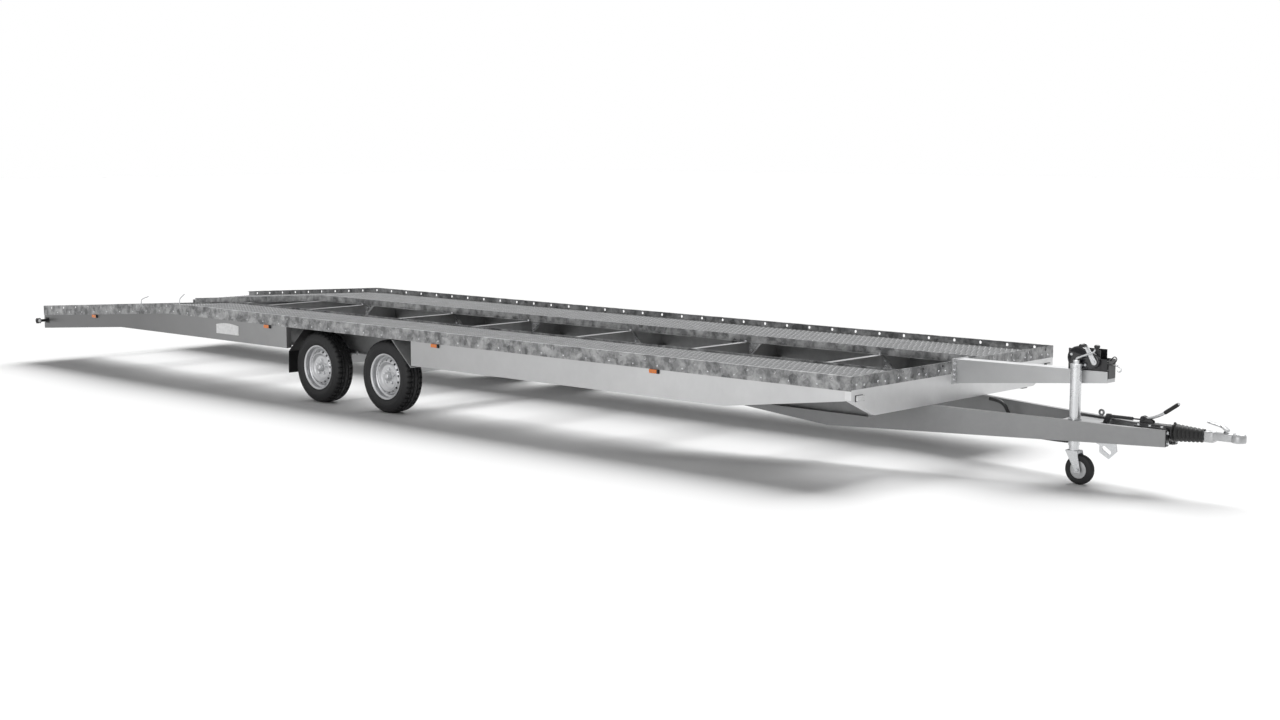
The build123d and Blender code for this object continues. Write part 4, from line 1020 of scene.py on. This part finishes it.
# %% Fit the crank and its knob
boss = Vector((front_x + 1.025, -0.0440, 0.7700))
end = Vector((front_x + 0.963, -0.0740, 0.8720))
arm_outer = -0.0790
arm_inner = -0.0720
knob_foot = -0.0795
to_the_right = (0, -1, 0)
pin_shape = turned("pin_shape", ((0.0095, 0), (0.0095, 0.034), (0.0085, 0.036), (0, 0.036)), 20)
crank = bmesh.new()
add_hull(crank, ((boss.x, boss.z, 0.018), (end.x, end.z, 0.012)), arm_outer, arm_inner, 0.0015)
stamp(crank, pin_shape, stand(boss, to_the_right))
stamp(crank, pin_shape, stand(end, to_the_right) @ Matrix.Scale(0.55, 4))
flat_crank = new_piece("flat_crank", crank, "chassis", bright_zinc)
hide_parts("winch_crank")
knob_shape = turned("knob_shape", ((0.0055, 0), (0.0100, 0.001), (0.0132, 0.012), (0.0120, 0.034),
                                   (0.0135, 0.050), (0.0118, 0.058), (0.0060, 0.062), (0, 0.0625)), 24)
knob_place = stand((end.x, knob_foot, end.z), to_the_right)
stamped_piece("winch_knob", [(knob_shape, knob_place)], "chassis", black_plastic)
print("crank", round((end - boss).length, 3), "m long")

# %% [markdown]
# ## The winch's screws
# Small bright screws hold the cover and the frame, and a larger one holds the crank on its pin.

# %% Screw the winch together
small_screw = 0.013
frame_floor = 0.7190
floor_screw_y = 0.026
frame_wall_y = 0.044
wall_screw_ahead = 0.842
cover_screws = ((-0.040, 0.020), (-0.022, -0.042), (0.062, 0.022), (0.055, -0.040))
screws = bmesh.new()
for shift_x, shift_z in cover_screws:
    add_bolt(screws, (drum.x + shift_x, cover_face, drum.z + shift_z), to_the_right, small_screw)
add_bolt(screws, (boss.x, knob_foot, boss.z), to_the_right, large_bolt)
for ahead in (0.850, 0.950, 1.035):
    for hand in (1, -1):
        add_bolt(screws, (front_x + ahead, hand * floor_screw_y, frame_floor), (0, 0, 1), small_screw)
for z in (0.750, 0.820):
    add_bolt(screws, (front_x + wall_screw_ahead, frame_wall_y, z), (0, 1, 0), small_screw)
new_piece("winch_screws", screws, "chassis", bright_zinc)
print("winch screws", 4 + 1 + 6 + 2)

# %% [markdown]
# ## The strap's guide
# Two cheeks stand in front of the winch and hold two rollers between them, and the strap runs out
# between the rollers. A plate across the beam's end closes the front.

# %% Fit the strap's guide
plate_wall = 0.005
cheek_y = 0.0390
cheek_rear = 1.0500
cheek_front = 1.1000
plate_rear = 1.1050
roller_ahead = 1.078
guide_top = 0.7900
cheek_foot = 0.7145
plate_foot = 0.6680
guide_edge = 0.002
guide = bmesh.new()
for hand in (-1, 1):
    add_side_block(guide, hand, (front_x + cheek_rear, cheek_y, cheek_foot),
                   (front_x + cheek_front, cheek_y + plate_wall, guide_top), guide_edge)
add_block(guide, (front_x + plate_rear, -cheek_y - plate_wall, plate_foot),
          (front_x + plate_rear + plate_wall, cheek_y + plate_wall, guide_top), guide_edge)
roller_shape = turned("roller_shape", ((0.0090, -0.039), (0.0075, -0.020), (0.0075, 0.020),
                                       (0.0090, 0.039)), 20)
for z in (0.7680, 0.7330):
    stamp(guide, roller_shape, stand((front_x + roller_ahead, 0, z), (0, 1, 0)))
new_piece("strap_guide", guide, "chassis", black_steel)
print("strap guide with two rollers")

# %% [markdown]
# ## The strap's end
# The strap leaves the drum, sags a little and ends at a hook. It is a grid laid from the drum to the
# hook, lowered by part of a sine, and given its thickness. The hook is bent from a bright bar, and a
# soft loop beside it is for pulling the strap by hand.

# %% Hang the hook
strap_width = 0.044
strap_sag = 0.012
strap_rise = 0.004
strap_wall = 0.003
strap_start = Vector((drum.x + 0.020, 0, drum.z + 0.0440))
strap_stop = Vector((front_x + 1.140, 0, 0.7480))
strap_mesh = bmesh.new()
grid = bmesh.ops.create_grid(strap_mesh, x_segments=12, y_segments=1, size=0.5)["verts"]
for vert in grid:
    share = vert.co.x + 0.5
    middle = strap_start.lerp(strap_stop, share)
    drop = strap_sag * math.sin(math.pi * share) - strap_rise * share
    vert.co = (middle.x, vert.co.y * strap_width, middle.z - drop)
bmesh.ops.solidify(strap_mesh, geom=strap_mesh.faces[:], thickness=strap_wall)
bmesh.ops.recalc_face_normals(strap_mesh, faces=strap_mesh.faces)
new_piece("strap_end", strap_mesh, "chassis", black_rubber)
hook_line = middle_line((
    (1.128, 0.7540), (1.142, 0.7510), (1.158, 0.7440), (1.172, 0.7310), (1.170, 0.7170), (1.156, 0.7130),
    (1.146, 0.7200), (1.144, 0.7270)))
bent_bar("strap_hook", hook_line, 0.0042, "chassis", bright_zinc)
loop_line = middle_line((
    (1.110, 0.7800), (1.122, 0.8040), (1.140, 0.8100), (1.152, 0.7960), (1.144, 0.7760),
    (1.126, 0.7640)), -0.020)
bent_bar("strap_loop", loop_line, 0.0032, "chassis", black_rubber)
print("strap end", round((strap_stop - strap_start).length, 3), "m long")

# %% [markdown]
# ## The coupling's bolts and nose plates
# Bolts hold the housing down on the drawbar and clamp its front, where the two drawbar beams end. Each
# beam's end is closed by a black plate with two bolts, and the bellows comes out between the plates.

# %% Bolt the coupling
coupling_z = 0.378
housing_top = 0.407
housing_bolt_y = 0.052
housing_side = -0.038
side_bolt_lift = 0.004
nose_rear = 1.5170
nose_wall = 0.0060
nose_low = 0.296
nose_high = 0.398
nose_inner = 0.040
nose_outer = 0.079
nose_bolt_y = 0.060
nose_bolt = 0.015
coupling_bolts = bmesh.new()
for hand in (1, -1):
    for ahead in (1.325, 1.400, 1.480):
        add_bolt(coupling_bolts, (front_x + ahead, hand * housing_bolt_y, housing_top), (0, 0, 1), small_bolt)
for ahead in (1.352, 1.462):
    add_bolt(coupling_bolts, (front_x + ahead, housing_side, coupling_z + side_bolt_lift), to_the_right,
             small_screw)
for z in (0.316, 0.378):
    for hand in (1, -1):
        add_bolt(coupling_bolts, (front_x + nose_rear + nose_wall, hand * nose_bolt_y, z), (1, 0, 0),
                 nose_bolt)
new_piece("coupling_bolts", coupling_bolts, "chassis", bright_zinc)
nose_plates = bmesh.new()
for hand in (-1, 1):
    add_side_block(nose_plates, hand, (front_x + nose_rear, nose_inner, nose_low),
                   (front_x + nose_rear + nose_wall, nose_outer, nose_high), 0.002)
new_piece("nose_plates", nose_plates, "chassis", black_steel)
print("coupling bolts", 6 + 2 + 4)

# %% [markdown]
# ## The bellows
# A rubber bellows keeps water off the sliding draw tube. Each fold is a rounded crest with a steep
# flank on both sides, and the folds grow smaller towards the front. One loop writes the profile fold by
# fold, and the lathe turns it. A band with a small screw block clamps each end.

# %% Fold the bellows
folds = 7
rear_radius = 0.055
front_radius = 0.041
bellows_rear = 1.535
bellows_front = 1.735
rear_lip = 0.008
front_lip = 0.008
tube_radius = 0.0255
neck_radius = 0.0330
bellows_length = bellows_front - bellows_rear
fold_pitch = (bellows_length - rear_lip - front_lip) / folds
fold_line = [(tube_radius, 0), (rear_radius, 0), (rear_radius, rear_lip)]
for n in range(folds):
    crest = rear_radius + (front_radius - rear_radius) * (n + 0.5) / folds
    start = rear_lip + n * fold_pitch
    for depth, share in ((0.0080, 0.18), (0.0020, 0.40), (0, 0.58), (0.0015, 0.78), (0.0075, 0.98)):
        fold_line.append((crest - depth, start + share * fold_pitch))
fold_line += [(neck_radius, bellows_length - front_lip), (neck_radius, bellows_length),
              (tube_radius, bellows_length)]
bellows_shape = turned("bellows_shape", fold_line, 48, closed=True)
bellows_place = stand((front_x + bellows_rear, 0, coupling_z), (1, 0, 0))
folded = stamped_piece("rubber_bellows", [(bellows_shape, bellows_place)], "chassis", black_rubber,
                       50)
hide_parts("coupling_bellows")

clamp_half = 0.0035
clamp_inset = 0.004
clamp_sink = 0.001
clamp_rise = 0.0014
screw_half_length = 0.005
screw_half_width = 0.008
screw_height = 0.008
clamps = bmesh.new()
for ahead, radius in ((bellows_rear + clamp_inset, rear_radius), (bellows_front - clamp_inset, neck_radius)):
    band_line = ((radius - clamp_sink, -clamp_half), (radius + clamp_rise, -clamp_half),
                 (radius + clamp_rise, clamp_half), (radius - clamp_sink, clamp_half))
    stamp(clamps, turned("band", band_line, 40, True), stand((front_x + ahead, 0, coupling_z), (1, 0, 0)))
    add_block(clamps, (front_x + ahead - screw_half_length, -screw_half_width, coupling_z + radius),
              (front_x + ahead + screw_half_length, screw_half_width, coupling_z + radius + screw_height),
              0.0015)
new_piece("bellows_clamps", clamps, "chassis", black_steel)
print(folds, "folds")

# %% [markdown]
# ## The ball head
# The head is one casting on the draw tube: a thick neck, a slimmer waist, and a cup that closes over
# the tow ball from above. The cup and its hollow are turned, and the neck and waist are blocks with
# generous rounding, because castings have no sharp edges.

# %% Cast the head
ball_place = Vector((front_x + 1.946, 0, coupling_z))
tube_shape = turned("tube_shape", ((0.0250, -0.440), (0.0250, 0.010), (0, 0.010)), 32)
socket_shape = turned("socket_shape", (
    (0.0252, -0.018), (0.0400, -0.018), (0.0435, -0.014), (0.0440, 0.014), (0.0420, 0.024),
    (0.0350, 0.033), (0.0230, 0.0385), (0.0080, 0.0405), (0, 0.0405)), 48)
bowl_shape = turned("bowl_shape", ((0.0252, -0.018), (0.0252, 0.002), (0.0225, 0.006), (0, 0.006)), 48)
head = bmesh.new()
stamp(head, tube_shape, stand((front_x + bellows_front, 0, coupling_z), (1, 0, 0)))
stamp(head, socket_shape, Matrix.Translation(ball_place))
stamp(head, bowl_shape, Matrix.Translation(ball_place))
add_block(head, (front_x + bellows_front, -0.031, coupling_z - 0.034),
          (front_x + 1.800, 0.031, coupling_z + 0.034), 0.012, 4)
add_block(head, (front_x + 1.775, -0.026, coupling_z - 0.018),
          (front_x + 1.925, 0.026, coupling_z + 0.031), 0.009, 3)
bmesh.ops.recalc_face_normals(head, faces=head.faces)
ball_head = new_piece("ball_head", head, "chassis", cast_silver, 40)
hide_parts("coupling_head")
print("ball head", len(ball_head.data.polygons), "faces")

# %% [markdown]
# ## The handle on the head
# Pulling the handle up opens the cup. It is a flat bent lever: a thick root on a cross pin, and a
# thinner grip that lies back over the neck. Each stretch is a rounded block, tilted into place.

# %% Fit the handle
handle_half_width = 0.021
overlap = 0.004
pivot_ahead = 1.868
pivot_lift = 0.040
root_stretch = ((1.876, 0.424), (1.838, 0.452), 0.014)
grip_stretch = ((1.846, 0.446), (1.756, 0.466), 0.011)
handle = bmesh.new()
for start, stop, thick in (root_stretch, grip_stretch):
    run = math.hypot(stop[0] - start[0], stop[1] - start[1])
    tilt = math.atan2(stop[1] - start[1], start[0] - stop[0])
    lie = Matrix.Translation((front_x + start[0], 0, start[1])) @ Matrix.Rotation(tilt, 4, "Y")
    add_block(handle, (-run - overlap, -handle_half_width, -thick / 2),
              (overlap, handle_half_width, thick / 2), 0.004, 3, lie)
pivot_shape = turned("pivot_shape", ((0.0065, -0.026), (0.0065, 0.026)), 16)
stamp(handle, pivot_shape, stand((front_x + pivot_ahead, 0, coupling_z + pivot_lift), (0, 1, 0)))
pull_handle = new_piece("pull_handle", handle, "chassis", cast_silver, 40)
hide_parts("coupling_handle")
print("handle over the head")

# %% [markdown]
# ## The parking brake lever
# The lever is a bright bar bent upwards, between two black ears with a bolt through each. Its upper end
# has a rubber grip with rings, which is turned from a profile that one loop writes.

# %% Fit the brake lever
lever_line = middle_line((
    (1.318, 0.425), (1.345, 0.440), (1.400, 0.456), (1.448, 0.476), (1.500, 0.512), (1.562, 0.555)))
lever = bent_bar("brake_lever", lever_line, 0.0095, "chassis", bright_zinc)
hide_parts("handbrake_lever")

ear_inner = 0.010
ear_outer = 0.015
pivot_x = front_x + 1.335
pivot_z = 0.440
ear_foot = 0.424
ear_length = 0.050
pivot_bolt = 0.015
ears = bmesh.new()
for hand in (1, -1):
    low_y, high_y = sorted((hand * ear_inner, hand * ear_outer))
    add_hull(ears, ((pivot_x, pivot_z, 0.020), (pivot_x, ear_foot, 0.022),
                    (pivot_x + ear_length, ear_foot, 0.016)), low_y, high_y, 0.001)
    add_bolt(ears, (pivot_x, hand * ear_outer, pivot_z), (0, hand, 0), pivot_bolt)
new_piece("lever_ears", ears, "chassis", black_steel, 40)

grip_foot = Vector((front_x + 1.470, 0, 0.4905))
grip_end = Vector((front_x + 1.558, 0, 0.5520))
grip_rings = 8
ring_pitch = 0.0125
ring_radius = 0.0125
groove_radius = 0.0112
grip_line = [(0.0105, 0)]
for n in range(grip_rings):
    start = 0.004 + ring_pitch * n
    grip_line += [(ring_radius, start), (ring_radius, start + 0.0075), (groove_radius, start + 0.009),
                  (groove_radius, start + 0.0115)]
grip_line += [(0.0118, 0.1060), (0.0080, 0.1090), (0, 0.1095)]
ringed_grip = turned("ringed_grip", grip_line, 24)
grip_place = stand(grip_foot, (grip_end - grip_foot).normalized())
stamped_piece("lever_grip", [(ringed_grip, grip_place)], "chassis", black_rubber)
print(grip_rings, "rings on the grip")

# %% [markdown]
# ## The jockey wheel
# The small wheel has a ribbed solid tyre, turned like the road tyres. It rides on the roller's body, so
# that it turns, and the bolts of its axle ride on the fork, which swivels.

# %% Turn the jockey tyre
jockey_y = -0.105
caster = Vector((front_x + 0.965, jockey_y, 0.095))
fork_outer = 0.0400
jockey_half = ((0.0562, 0.0245), (0.0700, 0.0250), (0.0800, 0.0250), (0.0880, 0.0225), (0.0930, 0.0170),
               (0.0945, 0.0120), (0.0915, 0.0108), (0.0915, 0.0078), (0.0950, 0.0066))
ribbed_tyre = turned("ribbed_tyre", mirrored_profile(jockey_half), 56, True)
jockey_tyre = stamped_piece("jockey_ribbed_tyre", [(ribbed_tyre, stand(caster, (0, 1, 0)))],
                            "jockey_roller", tyre_rubber, 28)
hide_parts("jockey_tyre")
fork_bolts = bmesh.new()
for hand in (1, -1):
    add_bolt(fork_bolts, caster + Vector((0, hand * fork_outer, 0)), (0, hand, 0), small_bolt)
new_piece("fork_bolts", fork_bolts, "jockey_caster", bright_zinc)
print("jockey tyre", len(ribbed_tyre.polygons), "faces")

# %% [markdown]
# ## The jockey wheel's tube
# The outer tube is clamped in the bridge between two collars, and closed by a stepped cap with the
# spindle in it. The crank on top ends in a black mushroom knob. All of them are turned.

# %% Collar the tube
jockey_foot = (front_x + 0.920, jockey_y)
collar_heights = (0.3912, 0.3098)
mushroom_place = (front_x + 1.060, jockey_y, 0.8480)
collar_shape = turned("collar_shape", ((0.0350, 0), (0.0420, 0), (0.0420, 0.020), (0.0350, 0.020)), 32, True)
cap_line = ((0.0350, 0.738), (0.0372, 0.740), (0.0372, 0.754), (0.0350, 0.7565), (0.0210, 0.7600),
            (0.0210, 0.7780), (0.0180, 0.7800), (0, 0.7800))
tube_cap = turned("tube_cap", cap_line, 32)
tube_stamps = [(collar_shape, Matrix.Translation((*jockey_foot, z))) for z in collar_heights]
tube_stamps.append((tube_cap, Matrix.Translation((*jockey_foot, 0))))
stamped_piece("jockey_collars", tube_stamps, "chassis", bright_zinc)
mushroom_shape = turned("mushroom_shape", ((0.0065, 0), (0.0100, 0.002), (0.0110, 0.012), (0.0180, 0.020),
                                           (0.0190, 0.026), (0.0160, 0.033), (0.0090, 0.0365),
                                           (0, 0.0375)), 24)
stamped_piece("jockey_knob", [(mushroom_shape, Matrix.Translation(mushroom_place))], "chassis", black_plastic)
print("two collars, a cap and a knob")

# %% [markdown]
# ## The jockey wheel's grip
# A long tapered grip sticks out behind the tube, for pushing the trailer about by hand. It is one
# turned shape with a bright rounded tip, and it replaces the plain bar in the frame.

# %% Fit the grip
grip_root = Vector((front_x + 0.885, jockey_y, 0.267))
grip_length = 0.226
tip_gap = 0.001
tapered_line = ((0, 0), (0.0125, 0), (0.0150, 0.012), (0.0155, 0.090), (0.0135, 0.180), (0.0118, 0.222),
                (0.0100, grip_length), (0, grip_length))
tapered_shape = turned("tapered_shape", tapered_line, 28)
tapered = stamped_piece("tapered_grip", [(tapered_shape, stand(grip_root, (-1, 0, 0)))], "chassis",
                        black_plastic)
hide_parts("jockey_grip")
tip_shape = turned("tip_shape", ((0.0088, -0.010), (0.0112, -0.006), (0.0112, 0.004), (0.0085, 0.008),
                                 (0.004, 0.0095), (0, 0.010)), 20)
tip_place = grip_root - Vector((grip_length - tip_gap, 0, 0))
stamped_piece("jockey_grip_tip", [(tip_shape, stand(tip_place, (-1, 0, 0)))], "chassis", bright_zinc)
print("grip", grip_length, "m long")

# %% [markdown]
# ## The wiring conduit
# A stiff ribbed conduit carries the wires along the left drawbar beam, inside its channel. It is one
# bent bar along points that follow the channel, with a ring repeated on the straight run.

# %% Lay the conduit
conduit_line = (
    (3.9500, 0.26900, 0.41600), (4.0000, 0.26648, 0.41400), (4.0760, 0.24800, 0.39500),
    (4.1100, 0.24600, 0.33500), (4.1420, 0.26300, 0.28800), (4.2200, 0.25850, 0.28280),
    (4.3000, 0.24440, 0.28472), (4.5000, 0.20970, 0.28975), (4.7500, 0.16630, 0.29603),
    (4.9600, 0.12980, 0.30131))
rib_pitch = 0.008
first_rib = 0.02
last_rib = 0.01
bent_bar("wiring_conduit", conduit_line, 0.0125, "chassis", black_plastic)
conduit_start = Vector((4.3000, 0.2444, 0.28472))
conduit_run = Vector((4.9600, 0.1298, 0.30131)) - conduit_start
conduit_way = conduit_run.normalized()
rib_shape = turned("rib_shape", ((0.0120, -0.0024), (0.0140, -0.0014), (0.0140, 0.0014),
                                 (0.0120, 0.0024)), 14, True)
rib_place = stand(conduit_start + conduit_way * first_rib, conduit_way)
ribs = stamped_piece("conduit_ribs", [(rib_shape, rib_place)], "chassis", black_plastic)
rib_count = int((conduit_run.length - first_rib - last_rib) / rib_pitch)
repeat_rows(ribs, conduit_way * rib_pitch, rib_count)
print("conduit ribs", rib_count)

# %% [markdown]
# ## Hooks and lug
# Two hooks bent from round bar stand on the right rail near the bend, and lean forward over it. A
# round lug with a hole is welded on the left drawbar beam, where the beam's top slopes down to the
# hitch, so its height is worked out from that slope.

# %% Bend the hooks and weld the lug
hook_y = -1.193
hook_foot_z = 0.695
for hook_name, points in (
    ("rail_hook_rear", ((8.003, -0.012), (8.002, 0.020), (7.990, 0.046), (7.880, 0.072))),
    ("rail_hook_front", ((7.377, -0.012), (7.375, 0.030), (7.362, 0.058), (7.290, 0.096))),
):
    foot_z = hook_foot_z - ramp_drop(front_x - points[0][0])
    hook = [(front_x - behind, hook_y, foot_z + rise) for behind, rise in points]
    bent_bar(hook_name, hook, 0.0040, "chassis", bright_zinc)

lug_ahead = 0.960
lug_inset = 0.012
lug_lift = 0.0195
beam_turn = math.radians(9.85)
beam_nose_y = 0.075
beam_high = 0.430
beam_drop = 0.032
drop_start = 0.020
drop_run = 1.270
lug_y = beam_nose_y + (nose_rear - lug_ahead) * math.tan(beam_turn) - lug_inset
lug_foot = beam_high - beam_drop * (lug_ahead - drop_start) / drop_run
lug_shape = turned("lug_shape", ((0.0090, -0.004), (0.0200, -0.004), (0.0215, -0.0025), (0.0215, 0.0025),
                                 (0.0200, 0.004), (0.0090, 0.004)), 28, True)
lug_place = stand((front_x + lug_ahead, lug_y, lug_foot + lug_lift), (0, 1, 0))
stamped_piece("drawbar_lug", [(lug_shape, lug_place)], "chassis", dipped_zinc)
print("lug at", round(lug_foot + lug_lift, 3), "m")

# %% [markdown]
# ## The floor
# A studio floor is one large pale sheet that runs out of sight. It is plain and almost without gloss,
# so that only the trailer's shadow shows on it.

# %% Lay the floor
floor_size = 90
floor_mesh = bmesh.new()
bmesh.ops.create_grid(floor_mesh, x_segments=1, y_segments=1, size=floor_size)
floor_data = bpy.data.meshes.new("floor")
floor_mesh.to_mesh(floor_data)
floor_mesh.free()
floor = bpy.data.objects.new("floor", floor_data)
bpy.context.scene.collection.objects.link(floor)
floor_material, _, floor_shader = new_material("floor_paper", (0.90, 0.90, 0.90), 0, 0.9)
floor_shader.inputs["Specular IOR Level"].default_value = 0.1
floor_data.materials.append(floor_material)
print("floor", 2 * floor_size, "m wide")

# %% [markdown]
# ## The lights
# The key light stands high and a little behind, so the shadow falls towards the camera. A sun lamp has
# one direction everywhere, which suits a long trailer, and a wide angle makes its shadow soft. A weak
# second one from the camera's side opens the faces that the key leaves dark.


# %% Hang the lights
def soft_sun(name, target_from, strength, spread):
    """A soft light without end, which shines from this direction."""
    data = bpy.data.lights.new(name, "SUN")
    data.energy = strength
    data.angle = math.radians(spread)
    light = bpy.data.objects.new(name, data)
    bpy.context.scene.collection.objects.link(light)
    light.location = Vector(target_from) * 10
    light.rotation_euler = (-Vector(target_from)).to_track_quat("-Z", "Y").to_euler()
    return light


soft_sun("key", (-0.10, 0.60, 0.79), 3.40, 42)
soft_sun("side_fill", (0.10, -0.98, 0.12), 0.80, 40)
print("two soft suns")

# %% [markdown]
# ## The sky
# Bare metal shows mostly what it mirrors, so what reflections see of the sky is a ramp from dark
# grey below to light grey above. The camera itself sees plain white, and the light that fills
# the shadows is a darker grey, so each kind of ray gets its own colour.

# %% Paint the sky
low_grey = (0.26, 0.262, 0.265, 1)
high_grey = (0.80, 0.80, 0.80, 1)
high_place = 0.5
filling_grey = (0.26, 0.26, 0.26, 1)
world = bpy.data.worlds.new("studio")
bpy.context.scene.world = world
world.use_nodes = True
sky = world.node_tree
background = sky.nodes["Background"]
direction = sky.nodes.new("ShaderNodeTexCoord")
axes = sky.nodes.new("ShaderNodeSeparateXYZ")
sky.links.new(direction.outputs["Generated"], axes.inputs["Vector"])
shade = sky.nodes.new("ShaderNodeValToRGB")
shade.color_ramp.elements[0].position = 0.0
shade.color_ramp.elements[0].color = low_grey
shade.color_ramp.elements[1].position = high_place
shade.color_ramp.elements[1].color = high_grey
sky.links.new(axes.outputs["Z"], shade.inputs["Fac"])
rays = sky.nodes.new("ShaderNodeLightPath")
mirrored = mixed(sky, "RGBA", rays.outputs["Is Glossy Ray"], filling_grey, shade.outputs["Color"])
seen = mixed(sky, "RGBA", rays.outputs["Is Camera Ray"], mirrored, (1, 1, 1, 1))
sky.links.new(seen, background.inputs["Color"])
background.inputs["Strength"].default_value = 1.0
bpy.context.scene.view_settings.view_transform = "Standard"
print("a pale sky")
